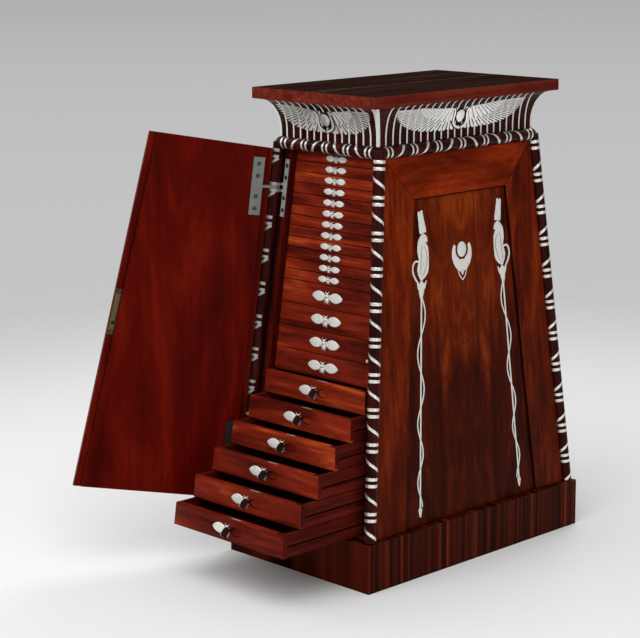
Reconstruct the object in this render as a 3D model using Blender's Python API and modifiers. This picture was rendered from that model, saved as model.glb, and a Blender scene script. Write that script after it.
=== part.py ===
"""Coin cabinet shaped like a tapering pylon, standing open.

A battered case stands on a plinth between four round corner posts. A roll moulding, a hollow cornice and
a flat top crown it. Twenty-two shallow drawers fill the case, each with a silver bee whose right wing swings
out as the pull. The door turns on the axis of the front left post, in knuckles hidden at its silver rings.

Metres, +Z up, the drawers facing -Y, the origin on the floor at the middle of the plinth.
"""

import math

import bmesh
import bpy
from mathutils import Matrix, Vector

NAME = "coin_cabinet"

# Gaps between pieces that touch, how far a cutter runs past what it cuts, how far shapes reach
# into each other where they grow into one body, and how near two points are when they count as one
SEAT = 0.0003
OVERRUN = 0.004
BITE = 0.001
WELD = 0.00001

# Plinth
PLINTH_WIDTH = 0.375
PLINTH_DEPTH = 0.603
PLINTH_HEIGHT = 0.092
PLINTH_BOARD = 0.016
PLINTH_DECK = 0.012
PLINTH_OPENING_INSET = 0.060

# Corner posts: their axes lean in from the plinth to the roll moulding
POST_RADIUS = 0.0108
POST_FOOT_INSET_X = 0.0125
POST_FOOT_INSET_Y = 0.0165
POST_HEAD_WIDTH = 0.2628
POST_HEAD_DEPTH = 0.429
POST_SIDES = 24
POST_TAPER_DROP = 0.0116
POST_TIP_DROP = 0.0040
POST_TIP_RADIUS = 0.0080

# Silver ring pairs on the posts, counted from the top, and the two that hide the hinge knuckles
RING_FIRST_DROP = 0.0207
RING_PITCH = 0.06355
RING_SPACING = 0.0124
RING_BAND = 0.0058
HINGE_GROUPS = (2, 10)

# Depths are measured straight back from the plane through the two nearest post axes,
# and reaches are measured in from the axis of the nearest post
WALL_DEPTH = 0.0112
WALL_THICKNESS = 0.0160
STILE_REACH = 0.0945
PANEL_RECESS = 0.0040
PANEL_TOP_DROP = 0.0910
JAMB_REACH = 0.0255
JAMB_BACK_DEPTH = 0.0345
RUNNER_START_DEPTH = 0.0370

# Floor and sill under the drawers
FLOOR_THICKNESS = 0.0080
SILL_DEPTH = 0.0

# Drawers, numbered from the top
SMALL_COUNT = 12
LARGE_COUNT = 10
SMALL_PITCH = 0.0204
LARGE_PITCH = 0.0438
STACK_CLEARANCE = 0.0007
CEILING_CLEARANCE = 0.0024
DRAWER_GAP = 0.0014
DRAWER_REACH = 0.0265
DRAWER_FRONT_DEPTH = 0.0245
DRAWER_BACK_INSET = 0.0285
DRAWER_FRONT_BOARD = 0.0100
DRAWER_SIDE_BOARD = 0.0080
DRAWER_BACK_BOARD = 0.0080
DRAWER_BOTTOM_BOARD = 0.0040
# how far the lowest six stand pulled out, the uppermost of them first
PULLED_OUT = (0.0195, 0.0560, 0.0940, 0.1355, 0.1770, 0.2195)

# Runners and the grooves that ride on them
RUNNER_REACH = 0.0300
RUNNER_HEIGHT = 0.0036
RUNNER_CLEARANCE = 0.0005
GROOVE_DEPTH = 0.0040
GROOVE_DROP_SHARE = 0.54

# Cornice and top
CORNICE_NECK_HEIGHT = 0.0116
CORNICE_CURVE_HEIGHT = 0.0607
CORNICE_NECK_INSET_X = 0.0034
CORNICE_NECK_INSET_Y = 0.0
CORNICE_THICKNESS = 0.0140
CORNICE_LIP = 0.0050
CORNICE_STEPS = 10
TOP_WIDTH = 0.319
TOP_DEPTH = 0.514
TOP_THICKNESS = 0.0213
TOP_EDGE_ROUND = 0.0010
TOP_SEAM_WIDTH = 0.0006
TOP_SEAM_DEPTH = 0.0006

# Winged discs on the cornice
WINGS_FRONT_SPAN = 0.2440
WINGS_SIDE_SPAN = 0.3620
WINGS_TOP_DROP = 0.0080
WINGS_FOOT_RISE = 0.0160
WINGS_RELIEF = 0.0014
WINGS_ROOT = -0.0010
WINGS_COLUMNS = 14
WINGS_ROWS = 3
WINGS_NOTCH = 0.0022
# height of the lower and of the upper edge at even steps from the middle to the tip, as shares of the rise
WINGS_LOWER_SHARES = (0.0, 0.01, 0.03, 0.08, 0.20, 0.42, 0.66, 0.86)
WINGS_UPPER_SHARES = (0.74, 0.73, 0.74, 0.78, 0.84, 0.90, 0.96, 1.0)
SUN_WIDTH = 0.0200
SUN_HEIGHT = 0.0290
SUN_RELIEF = 0.0030
SUN_RISE = 0.0400
SUN_SIDES = 16

# Silver inlay on the long sides
INLAY_RELIEF = 0.0003
COBRA_HEAD_SPREAD = 0.1098
COBRA_TAIL_SPREAD = 0.1439
COBRA_TOP_DROP = 0.1150
CREST_HEIGHT = 0.0420
CREST_TOP_WIDTH = 0.0140
CREST_FOOT_WIDTH = 0.0110
HOOD_HEIGHT = 0.0840
HOOD_WIDTH = 0.0270
HOOD_LEAN_SHARE = 0.12
HOOD_SIDES = 14
CALYX_HEIGHT = 0.0300
CALYX_WIDTH = 0.0140
CALYX_FOOT_SHARE = 0.4
STEM_WAVES = 7
STEM_SWING = 0.0046
STEM_TIP_RISE = 0.0170
STRAND_WIDTH = 0.0024
STRAND_STEPS = 4
EMBLEM_DROP = 0.1990
EMBLEM_DISC_RADIUS = 0.0145
EMBLEM_DISC_SIDES = 18
CRESCENT_HALF_WIDTH = 0.0300
CRESCENT_HEIGHT = 0.0420
CRESCENT_MOUTH_RADIUS = 0.0185
CRESCENT_STEPS = 8
CRESCENT_TURN = math.radians(105)
INLAY_UPPER_SHARE = 4 / 3

# Bees: the span is tip to tip
LARGE_BEE_SPAN = 0.0810
SMALL_BEE_SPAN = 0.0570
LARGE_WING_HEIGHT = 0.0235
SMALL_WING_HEIGHT = 0.0130
BEE_BODY_WIDTH_SHARE = 0.10
BEE_ABDOMEN_SHARE = 0.76
BEE_HEAD_SHARE = 0.30
BEE_HEAD_WIDTH_SHARE = 0.8
BEE_RELIEF = 0.0034
BEE_ROOT = 0.0003
BEE_SIDES = 8
DOME_RINGS = 2
WING_SHEET = 0.0011
WING_DOME = 0.0010
WING_POINTS = 5
WING_PEAK_SHARE = 0.42
WING_LEAN = 0.75
WING_FULLNESS = 0.8
WING_STANDOFF = 0.0004
HINGE_WIRE_RADIUS = 0.0010
HINGE_WIRE_SHARE = 0.5
HINGE_WIRE_SIDES = 8
WING_OPEN_DEG = 70.0
RECESS_DEPTH = 0.0030
RECESS_WIDTH_SHARE = 0.86
RECESS_HEIGHT_SHARE = 0.84
RECESS_SIDES = 18

# Door
DOOR_OPEN_DEG = 116.0
DOOR_REACH = 0.0123
DOOR_FACE_DEPTH = -0.0050
DOOR_LIP_DEPTH = 0.0045
DOOR_LEAF_REACH = 0.0254
DOOR_LEAF_DEPTH = 0.0105
DOOR_STILE_REACH = 0.0700
DOOR_FOOT_GAP = 0.0027
DOOR_HEAD_GAP = 0.0019

# Hinges
HINGE_PLATE_LENGTH = 0.110
HINGE_PLATE_SHEET = 0.0010
CASE_PLATE_START = 0.0128
CASE_PLATE_END = 0.0232
DOOR_PLATE_START = 0.0275
DOOR_PLATE_END = 0.0495
STRAP_THICKNESS = 0.0025
STRAP_START = 0.0040
RISER_START = 0.0237
RISER_END = 0.0249
BRIDGE_HEIGHT_SHARE = 0.92
FORK_ARM_DEPTH = 0.0084
FORK_ARM_END = 0.0150
FORK_ARM_SHARE = 0.8
HINGE_PIN_RADIUS = 0.0022
HINGE_PIN_CLEARANCE = 0.0002
HINGE_PIN_SIDES = 12
KNUCKLE_GAP = 0.0003

# Lock in the door's free edge, and what it meets on the right jamb
LOCK_PLATE_START = 0.0135
LOCK_PLATE_END = 0.0243
LOCK_PLATE_SHEET = 0.0012
LOCK_FOOT_RISE = 0.3990
LOCK_HEIGHT = 0.0860
LOCK_BODY_MARGIN = 0.0006
LOCK_BODY_DEPTH = 0.0062
LOCK_SHELL = 0.0006
# heights above the face plate's foot, as shares of its height
LOCK_BODY_SHARES = (0.1395, 0.7674)
STUD_SHARE = 0.2616
SIGHT_HOLE_SHARE = 0.4884
KEY_HOLE_SHARE = 0.6977
CATCH_FOOT_SHARE = 0.3163
STRIKE_SHARES = (0.0116, 0.9186)
STUD_HOLE_RADIUS = 0.0040
SIGHT_HOLE_RADIUS = 0.0024
KEY_HOLE_RADIUS = 0.0016
HOLE_SIDES = 16
CATCH_THICKNESS = 0.0012
CATCH_WIDTH = 0.0076
CATCH_NOTCH_WIDTH = 0.0054
CATCH_NOTCH_HEIGHT = 0.0034
CATCH_TRAVEL = 0.0045
CATCH_HEAD_ROOM = 0.0049
STRIKE_START = 0.0135
STRIKE_END = 0.0232
STRIKE_SHEET = 0.0010
STUD_RADIUS = 0.0022
STUD_HEAD_RADIUS = 0.0033
STUD_HEAD_LENGTH = 0.0030
STUD_END_DEPTH = -0.0012
# radius of the stud's head at its end and at its neck, and how far its end is rounded, as shares
STUD_TIP_SHARE = 0.7
STUD_ROUND_SHARE = 0.12
STUD_BACK_SHARE = 0.9

# Round pieces are shaded soft, and edges sharper than this stay
SMOOTH_ANGLE = math.radians(35)

# Heights and slopes that follow
STACK_FOOT = PLINTH_HEIGHT + SEAT + FLOOR_THICKNESS + STACK_CLEARANCE
STACK_HEAD = STACK_FOOT + LARGE_COUNT * LARGE_PITCH + SMALL_COUNT * SMALL_PITCH
ROLL_HEIGHT = STACK_HEAD + CEILING_CLEARANCE + POST_RADIUS
WALL_FOOT = PLINTH_HEIGHT + SEAT
WALL_HEAD = ROLL_HEIGHT - POST_RADIUS - SEAT
PANEL_HEAD = ROLL_HEIGHT - PANEL_TOP_DROP
CORNICE_FOOT = ROLL_HEIGHT + POST_RADIUS + SEAT
CORNICE_HEAD = CORNICE_FOOT + CORNICE_NECK_HEIGHT + CORNICE_CURVE_HEIGHT
TOP_FOOT = CORNICE_HEAD + SEAT
HEIGHT = TOP_FOOT + TOP_THICKNESS
DOOR_FOOT = WALL_FOOT + FLOOR_THICKNESS + DOOR_FOOT_GAP
DOOR_HEAD = WALL_HEAD - DOOR_HEAD_GAP

FOOT_HALF_X = PLINTH_WIDTH / 2 - POST_FOOT_INSET_X
FOOT_HALF_Y = PLINTH_DEPTH / 2 - POST_FOOT_INSET_Y
SLOPE_X = (FOOT_HALF_X - POST_HEAD_WIDTH / 2) / (ROLL_HEIGHT - PLINTH_HEIGHT)
SLOPE_Y = (FOOT_HALF_Y - POST_HEAD_DEPTH / 2) / (ROLL_HEIGHT - PLINTH_HEIGHT)
NECK_X = POST_HEAD_WIDTH / 2 - CORNICE_NECK_INSET_X
NECK_Y = POST_HEAD_DEPTH / 2 - CORNICE_NECK_INSET_Y
FLARE_X = TOP_WIDTH / 2 - CORNICE_LIP - NECK_X
FLARE_Y = TOP_DEPTH / 2 - CORNICE_LIP - NECK_Y


def half_x(z):
    """Distance of the post axes from the middle plane x = 0 at height z."""
    return FOOT_HALF_X - SLOPE_X * (z - PLINTH_HEIGHT)


def half_y(z):
    """Distance of the post axes from the middle plane y = 0 at height z."""
    return FOOT_HALF_Y - SLOPE_Y * (z - PLINTH_HEIGHT)


def drawer_span(number):
    """Bottom and top height of a drawer's front, counted from the top drawer."""
    if number <= SMALL_COUNT:
        head = STACK_HEAD - (number - 1) * SMALL_PITCH
        foot = head - SMALL_PITCH
    else:
        head = STACK_HEAD - SMALL_COUNT * SMALL_PITCH - (number - 1 - SMALL_COUNT) * LARGE_PITCH
        foot = head - LARGE_PITCH
    return foot + DRAWER_GAP / 2, head - DRAWER_GAP / 2


def ring_height(group):
    """Height of the middle of a ring pair on a post's axis, counted from the top."""
    return ROLL_HEIGHT - RING_FIRST_DROP - (group - 1) * RING_PITCH


def runner_span(number):
    """Bottom and top height of a drawer's runners."""
    foot, head = drawer_span(number)
    middle = head - (head - foot) * GROOVE_DROP_SHARE
    return middle - RUNNER_HEIGHT / 2, middle + RUNNER_HEIGHT / 2


# Scene, collections and materials


def start():
    """Empties the scene and makes the two collections."""
    for item in list(bpy.data.objects):
        bpy.data.objects.remove(item, do_unlink=True)
    made = []
    for title in (NAME, "cutters"):
        group = bpy.data.collections.new(title)
        bpy.context.scene.collection.children.link(group)
        made.append(group)
    return made


PARTS, CUTTERS = start()


def material(title, colour, roughness, metallic=0.0):
    made = bpy.data.materials.new(title)
    made.use_nodes = True
    shader = made.node_tree.nodes["Principled BSDF"]
    shader.inputs["Base Color"].default_value = (*colour, 1.0)
    shader.inputs["Roughness"].default_value = roughness
    shader.inputs["Metallic"].default_value = metallic
    made.diffuse_color = (*colour, 1.0)
    return made


MAHOGANY = material("mahogany", (0.235, 0.028, 0.012), 0.30)
FIGURED = material("figured_mahogany", (0.155, 0.030, 0.010), 0.25)
DARK_WOOD = material("dark_wood", (0.050, 0.012, 0.010), 0.25)
SILVER = material("silver", (0.780, 0.760, 0.720), 0.28, 1.0)
STEEL = material("steel", (0.330, 0.330, 0.310), 0.38, 1.0)
BRASS = material("brass", (0.560, 0.400, 0.140), 0.30, 1.0)


# Building blocks


def new_object(title, mesh, look, collection=None):
    item = bpy.data.objects.new(title, mesh)
    mesh.materials.clear()
    mesh.materials.append(look)
    (collection or PARTS).objects.link(item)
    return item


def mesh_from(title, work):
    mesh = bpy.data.meshes.new(title)
    work.to_mesh(mesh)
    work.free()
    return mesh


def block(title, corner):
    """Box whose eight corners corner(sx, sy, sz) places, each sign being -1 or 1."""
    work = bmesh.new()
    bmesh.ops.create_cube(work, size=2.0)
    for vert in work.verts:
        vert.co = Vector(corner(*(int(round(c)) for c in vert.co)))
    bmesh.ops.recalc_face_normals(work, faces=work.faces)
    return mesh_from(title, work)


def box(title, low, high):
    """Upright box between two corners."""
    return block(title, lambda *signs: [high[i] if s > 0 else low[i] for i, s in enumerate(signs)])


def cylinder(title, radius, length, sides):
    """Cylinder along +Z from z = 0 to its length."""
    work = bmesh.new()
    bmesh.ops.create_cone(work, cap_ends=True, segments=sides, radius1=radius, radius2=radius, depth=length)
    bmesh.ops.translate(work, verts=work.verts, vec=(0, 0, length / 2))
    return mesh_from(title, work)


def oval_dome(title, half_width, half_height, relief, sides, rings):
    """Half of a squashed ball on the plane z = 0."""
    work = bmesh.new()
    bmesh.ops.create_uvsphere(work, u_segments=sides, v_segments=2 * rings, radius=1.0)
    below = [v for v in work.verts if v.co.z < -WELD]
    bmesh.ops.delete(work, geom=below, context="VERTS")
    rim = [e for e in work.edges if e.is_boundary]
    bmesh.ops.edgeloop_fill(work, edges=rim)
    for vert in work.verts:
        vert.co = Vector((vert.co.x * half_width, vert.co.y * half_height, max(vert.co.z, 0) * relief))
    bmesh.ops.recalc_face_normals(work, faces=work.faces)
    return mesh_from(title, work)


def sheet(title, outline, thickness):
    """Flat outline in the XY plane, filled and as thick as given, from z = 0 up."""
    curve = bpy.data.curves.new(title, "CURVE")
    curve.dimensions = "2D"
    curve.fill_mode = "BOTH"
    curve.extrude = thickness / 2
    spline = curve.splines.new("POLY")
    spline.points.add(len(outline) - 1)
    for point, (x, y) in zip(spline.points, outline):
        point.co = (x, y, 0, 1)
    spline.use_cyclic_u = True
    holder = bpy.data.objects.new(title, curve)
    PARTS.objects.link(holder)
    bpy.context.view_layer.update()
    solid = holder.evaluated_get(bpy.context.evaluated_depsgraph_get())
    mesh = bpy.data.meshes.new_from_object(solid)
    bpy.data.objects.remove(holder)
    bpy.data.curves.remove(curve)
    work = bmesh.new()
    work.from_mesh(mesh)
    bmesh.ops.remove_doubles(work, verts=work.verts, dist=WELD)
    bmesh.ops.translate(work, verts=work.verts, vec=(0, 0, thickness / 2))
    bmesh.ops.recalc_face_normals(work, faces=work.faces)
    work.to_mesh(mesh)
    work.free()
    return mesh


def turned(title, profile, sides, closed=False):
    """Solid turned about Z from a profile of (radius, z) that runs from the top down its outer side."""
    mesh = bpy.data.meshes.new(title)
    verts = [(r, 0, z) for r, z in profile]
    edges = [(i, i + 1) for i in range(len(verts) - 1)]
    mesh.from_pydata(verts, edges + ([(len(verts) - 1, 0)] if closed else []), [])
    holder = bpy.data.objects.new(title, mesh)
    PARTS.objects.link(holder)
    screw = holder.modifiers.new("turn", "SCREW")
    screw.steps = sides
    screw.render_steps = sides
    screw.use_merge_vertices = True
    screw.merge_threshold = WELD
    screw.use_smooth_shade = False
    return bake(holder)


def bake(holder):
    """The evaluated mesh of an object, which is removed."""
    bpy.context.view_layer.update()
    solid = holder.evaluated_get(bpy.context.evaluated_depsgraph_get())
    mesh = bpy.data.meshes.new_from_object(solid)
    bpy.data.objects.remove(holder)
    return mesh


def moved(mesh, matrix):
    """The mesh carried by a matrix."""
    mesh.transform(matrix)
    if matrix.determinant() < 0:
        mesh.flip_normals()
    return mesh


def quarter_turns(count):
    """Turn about Z by quarters, which takes what faces -Y to the right, the back and the left."""
    return Matrix.Rotation(count * math.pi / 2, 4, "Z")


def facing_out(mesh):
    """The mesh with its faces turned outward."""
    work = bmesh.new()
    work.from_mesh(mesh)
    bmesh.ops.recalc_face_normals(work, faces=work.faces)
    return mesh_from("facing_out", work)


def ring(profile, corner):
    """Moulding around four sides, mitred; corner(out, up) gives x, y and z of a profile point at a corner."""
    mesh = turned("ring", [(1 + out, up) for out, up in profile], 4, closed=True)
    for vert in mesh.vertices:
        out = math.hypot(vert.co.x, vert.co.y) - 1
        x, y, z = corner(0 if abs(out) < WELD else out, vert.co.z)
        across, along = vert.co.x + vert.co.y, vert.co.y - vert.co.x
        vert.co = (math.copysign(x, across), math.copysign(y, along), z)
    return facing_out(mesh)


def softened(mesh, width):
    """The mesh with its edges bevelled."""
    holder = new_object("softened", mesh, MAHOGANY)
    bevel = holder.modifiers.new("bevel", "BEVEL")
    bevel.width = width
    bevel.segments = 2
    return bake(holder)


def together(meshes):
    """One mesh that holds several, which don't touch each other."""
    work = bmesh.new()
    for mesh in meshes:
        work.from_mesh(mesh)
    return mesh_from("together", work)


def placed(title, mesh, look, frame=Matrix()):
    """An object with its origin and axes at a frame, from a mesh in world coordinates."""
    mesh.transform(frame.inverted())
    item = new_object(title, mesh, look)
    item.matrix_world = frame
    return item


def carved(mesh, tools, operation="DIFFERENCE"):
    """The mesh after an exact Boolean with each tool in turn."""
    for tool in tools:
        holder = new_object("body", mesh, MAHOGANY)
        other = new_object("tool", tool, MAHOGANY, CUTTERS)
        other.hide_render = True
        other.display_type = "WIRE"
        step = holder.modifiers.new("boolean", "BOOLEAN")
        step.operation = operation
        step.solver = "EXACT"
        step.object = other
        mesh = bake(holder)
        bpy.data.objects.remove(other)
    return mesh


def joined(mesh, tools):
    """The mesh grown into one body with each tool in turn."""
    return carved(mesh, tools, "UNION")


def leaning_block(title, x_span, y_span, z_span):
    """Box between walls that lean: a wall is a number, or a function of the height."""

    def corner(sx, sy, sz):
        z = z_span[sz > 0]
        walls = (x_span[sx > 0], y_span[sy > 0])
        return [wall(z) if callable(wall) else wall for wall in walls] + [z]

    return block(title, corner)


def reach_x(inset, sign=1):
    """Wall at a reach in from the post axes, on the right for sign 1 and on the left for -1."""
    return lambda z: sign * (half_x(z) - inset)


def band(outer, inner, sign):
    """Span between two reaches in from the post axes, on the right for sign 1 and on the left for -1."""
    return (reach_x(inner), reach_x(outer)) if sign > 0 else (reach_x(outer, -1), reach_x(inner, -1))


def front(depth):
    """Wall at a depth behind the plane of the two front post axes."""
    return lambda z: -half_y(z) + depth


def back(depth):
    """Wall at a depth inside the plane of the two back post axes."""
    return lambda z: half_y(z) - depth


# Frames on the leaning faces


def post_axis(sign_x, sign_y, height):
    """Frame on a post's axis: z runs up the axis, x stays in the plane of the front or back."""
    up = Vector((-sign_x * SLOPE_X, -sign_y * SLOPE_Y, 1)).normalized()
    inward = Vector((0, 1, SLOPE_Y * sign_y)).normalized()
    inward = (inward - up * inward.dot(up)).normalized()
    across = inward.cross(up)
    place = Vector((sign_x * half_x(height), sign_y * half_y(height), height))
    return Matrix.Translation(place) @ Matrix((across, inward, up)).transposed().to_4x4()


def face_frame(side, depth, height):
    """Frame in the middle of a leaning face: x runs to the right, y up its slope and z out of it.

    Side 0 is the front, 1 the right, 2 the back and 3 the left.
    """
    slope, reach = ((SLOPE_Y, half_y), (SLOPE_X, half_x))[side % 2]
    up = Vector((0, slope, 1)).normalized()
    across = Vector((1, 0, 0))
    place = Matrix.Translation((0, depth - reach(height), height))
    return quarter_turns(side) @ place @ Matrix((across, up, across.cross(up))).transposed().to_4x4()


# Plinth


def plinth():
    """Hollow box, its deck open in the middle under the case."""
    x, y = PLINTH_WIDTH / 2, PLINTH_DEPTH / 2
    shell = box("plinth", (-x, -y, 0), (x, y, PLINTH_HEIGHT))
    hollow_x, hollow_y = x - PLINTH_BOARD, y - PLINTH_BOARD
    cavity = box("cavity", (-hollow_x, -hollow_y, PLINTH_DECK),
                 (hollow_x, hollow_y, PLINTH_HEIGHT - PLINTH_DECK))
    open_x, open_y = x - PLINTH_OPENING_INSET, y - PLINTH_OPENING_INSET
    opening = box("opening", (-open_x, -open_y, PLINTH_HEIGHT - PLINTH_DECK - BITE),
                  (open_x, open_y, PLINTH_HEIGHT + OVERRUN))
    return placed("plinth", carved(shell, [joined(cavity, [opening])]), FIGURED)


# Case


def panelled(edge, stile, face, thickness, span):
    """Slab facing -Y with a recessed panel between two stiles and a top rail.

    edge and stile give the half width over and between the stiles at a height, face the outer plane.
    """
    slab = leaning_block("slab", (lambda z: -edge(z), edge), (face, lambda z: face(z) + thickness), span)
    recess = leaning_block("recess", (lambda z: -stile(z), stile),
                           (lambda z: face(z) - OVERRUN, lambda z: face(z) + PANEL_RECESS),
                           (span[0] - OVERRUN, PANEL_HEAD))
    return carved(slab, [recess])


def case_side(title, sign):
    """Long side of the case with its inlay and the runner strips inside it, the left one mirrored."""
    slab = panelled(lambda z: half_y(z) - WALL_DEPTH, lambda z: half_y(z) - STILE_REACH,
                    lambda z: -half_x(z), WALL_THICKNESS, (WALL_FOOT, WALL_HEAD))
    slab = moved(slab, quarter_turns(1))
    rear = WALL_DEPTH + WALL_THICKNESS + SEAT
    runners = [leaning_block("runner", band(WALL_THICKNESS - BITE, RUNNER_REACH, 1),
                             (front(RUNNER_START_DEPTH), back(rear + SEAT)), runner_span(number))
               for number in range(1, SMALL_COUNT + LARGE_COUNT + 1)]
    side = joined(slab, [together(runners)] + side_inlays())
    return placed(title, moved(side, Matrix.Diagonal((sign, 1, 1, 1))), FIGURED)


def back_panel():
    """Panelled back between the two long sides."""
    slab = panelled(lambda z: half_x(z) - WALL_THICKNESS - SEAT, lambda z: half_x(z) - STILE_REACH,
                    lambda z: WALL_DEPTH - half_y(z), WALL_THICKNESS, (WALL_FOOT, WALL_HEAD))
    return placed("back_panel", moved(slab, quarter_turns(2)), FIGURED)


def case_frame():
    """Floor and sill, the two jambs beside the drawers, and the ceiling block between the roll mouldings."""
    wall = WALL_THICKNESS + SEAT
    sill_end = POST_RADIUS + 2 * SEAT
    floor_head = WALL_FOOT + FLOOR_THICKNESS
    x = POST_HEAD_WIDTH / 2 - POST_RADIUS - SEAT
    y = POST_HEAD_DEPTH / 2 - POST_RADIUS - SEAT
    floor = leaning_block("floor", (reach_x(wall, -1), reach_x(wall)),
                          (front(WALL_DEPTH - BITE), back(WALL_DEPTH + WALL_THICKNESS + SEAT)),
                          (WALL_FOOT, floor_head))
    sill = leaning_block("sill", (reach_x(sill_end, -1), reach_x(sill_end)),
                         (front(SILL_DEPTH), front(WALL_DEPTH - SEAT)), (WALL_FOOT, floor_head))
    jambs = [leaning_block("jamb", band(wall + SEAT, JAMB_REACH, sign),
                           (front(WALL_DEPTH), front(JAMB_BACK_DEPTH)),
                           (floor_head - BITE, WALL_HEAD + SEAT + BITE)) for sign in (-1, 1)]
    ceiling = box("ceiling", (-x, -y, WALL_HEAD + SEAT), (x, y, CORNICE_FOOT - SEAT))
    return placed("case_frame", joined(floor, [sill, together(jambs), ceiling]), MAHOGANY)


def post_frame():
    """Round corner posts joined at their heads by the roll moulding.

    At each hinge the front left post narrows to the pin that the knuckles turn on.
    """
    posts = []
    for sx in (-1, 1):
        for sy in (-1, 1):
            frame = post_axis(sx, sy, PLINTH_HEIGHT)
            profile = post_profile(frame.col[2].z, (sx, sy) == (-1, -1))
            post = moved(turned("post", profile, POST_SIDES), frame)
            posts.append(carved(post, [below_plinth_top(frame.translation)]))
    turns = [2 * math.pi * (step + 0.5) / POST_SIDES for step in range(POST_SIDES)]
    circle = [(POST_RADIUS * math.cos(a), POST_RADIUS * math.sin(a)) for a in turns[::-1]]
    roll = ring(circle, lambda out, up: (POST_HEAD_WIDTH / 2 + out, POST_HEAD_DEPTH / 2 + out,
                                         ROLL_HEIGHT + up))
    return placed("post_frame", joined(roll, [together(posts)]), DARK_WOOD)


def post_profile(rise, hinged):
    """Profile of a post from its head down, with the pins of the two hinges where it is hinged."""
    head = (ROLL_HEIGHT - PLINTH_HEIGHT) / rise
    profile = [(0, head - POST_TIP_DROP), (POST_TIP_RADIUS, head - POST_TIP_DROP),
               (POST_RADIUS, head - POST_TAPER_DROP)]
    reach = RING_SPACING / 2 + RING_BAND / 2 + KNUCKLE_GAP
    for group in HINGE_GROUPS if hinged else ():
        middle = (ring_height(group) - PLINTH_HEIGHT) / rise
        profile += [(POST_RADIUS, middle + reach), (HINGE_PIN_RADIUS, middle + reach),
                    (HINGE_PIN_RADIUS, middle - reach), (POST_RADIUS, middle - reach)]
    return profile + [(POST_RADIUS, -OVERRUN), (0, -OVERRUN)]


def below_plinth_top(middle):
    """Box around a post's foot, up to where the post stands on the plinth."""
    reach = POST_RADIUS + OVERRUN
    return box("below", (middle.x - reach, middle.y - reach, WALL_FOOT - 2 * OVERRUN),
               (middle.x + reach, middle.y + reach, WALL_FOOT))


# Cornice and top


def hollow(share, run):
    """Run and rise of the cornice's face above its foot, for a share of the hollow's quarter turn."""
    angle = share * math.pi / 2
    return run * (1 - math.cos(angle)), CORNICE_NECK_HEIGHT + CORNICE_CURVE_HEIGHT * math.sin(angle)


def cornice():
    """Hollow moulding around all four sides, with a winged disc on each."""
    height = CORNICE_HEAD - CORNICE_FOOT
    section = [(0, 0)] + [hollow(step / CORNICE_STEPS, 1) for step in range(CORNICE_STEPS + 1)]
    section += [(-CORNICE_THICKNESS, height), (-CORNICE_THICKNESS, 0)]

    def corner(out, up):
        x, y = (out * FLARE_X, out * FLARE_Y) if out > 0 else (out, out)
        return NECK_X + x, NECK_Y + y, CORNICE_FOOT + up

    moulding = ring(section[::-1], corner)
    mounts = [winged_disc(side, WINGS_SIDE_SPAN if side % 2 else WINGS_FRONT_SPAN) for side in range(4)]
    return placed("cornice", joined(moulding, [together(wings) for wings in zip(*mounts)]), DARK_WOOD)


def top_board():
    """Board with softened edges and the fine seam between its two planks."""
    x, y = TOP_WIDTH / 2, TOP_DEPTH / 2
    board = softened(box("board", (-x, -y, TOP_FOOT), (x, y, HEIGHT)), TOP_EDGE_ROUND)
    seam = box("seam", (-TOP_SEAM_WIDTH / 2, -y - OVERRUN, HEIGHT - TOP_SEAM_DEPTH),
               (TOP_SEAM_WIDTH / 2, y + OVERRUN, HEIGHT + OVERRUN))
    return placed("top_board", carved(board, [seam]), MAHOGANY)


def on_hollow(side, along, rise, lift):
    """Point along a side of the cornice at a rise above its foot, lifted off the face."""
    neck, run = ((NECK_Y, FLARE_Y), (NECK_X, FLARE_X))[side % 2]
    angle = math.asin(min(max((rise - CORNICE_NECK_HEIGHT) / CORNICE_CURVE_HEIGHT, 0), 1))
    out = Vector((math.cos(angle) * CORNICE_CURVE_HEIGHT, -math.sin(angle) * run)).normalized()
    reach = neck + run * (1 - math.cos(angle)) + lift * out.x
    return quarter_turns(side) @ Vector((along, -reach, CORNICE_FOOT + rise + lift * out.y))


def graded(shares, share):
    """Value between the even steps of a list of shares."""
    place = share * (len(shares) - 1)
    low = min(int(place), len(shares) - 2)
    return shares[low] + (shares[low + 1] - shares[low]) * (place - low)


def winged_disc(side, span):
    """Sheet with a wing to each side, bent to the hollow, and the sun at its middle."""
    top = CORNICE_HEAD - CORNICE_FOOT - WINGS_TOP_DROP
    work = bmesh.new()
    grid = []
    for column in range(-WINGS_COLUMNS, WINGS_COLUMNS + 1):
        share = abs(column) / WINGS_COLUMNS
        low, high = (WINGS_FOOT_RISE + (top - WINGS_FOOT_RISE) * graded(edge, share)
                     for edge in (WINGS_LOWER_SHARES, WINGS_UPPER_SHARES))
        low += WINGS_NOTCH if column % 2 else 0
        rises = [low + (high - low) * row / WINGS_ROWS for row in range(WINGS_ROWS + 1)]
        grid.append([[work.verts.new(on_hollow(side, column / WINGS_COLUMNS * span / 2, rise, lift))
                      for lift in (WINGS_ROOT, WINGS_RELIEF)] for rise in rises])
    for a, b in zip(grid, grid[1:]):
        for row in range(WINGS_ROWS):
            for layer in (0, 1):
                work.faces.new([a[row][layer], b[row][layer], b[row + 1][layer], a[row + 1][layer]])
    rim = [line[0] for line in grid] + grid[-1][1:] + [line[-1] for line in grid[-2::-1]] + grid[0][-2:0:-1]
    for a, b in zip(rim, rim[1:] + rim[:1]):
        work.faces.new([a[0], b[0], b[1], a[1]])
    bmesh.ops.recalc_face_normals(work, faces=work.faces)
    sun = oval_dome("sun", SUN_WIDTH / 2, SUN_HEIGHT / 2, SUN_RELIEF, SUN_SIDES, DOME_RINGS)
    for vert in sun.vertices:
        lift = vert.co.z if vert.co.z > 0 else WINGS_ROOT / 2
        vert.co = on_hollow(side, vert.co.x, SUN_RISE + vert.co.y, lift)
    return [mesh_from("wings", work), sun]


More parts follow.
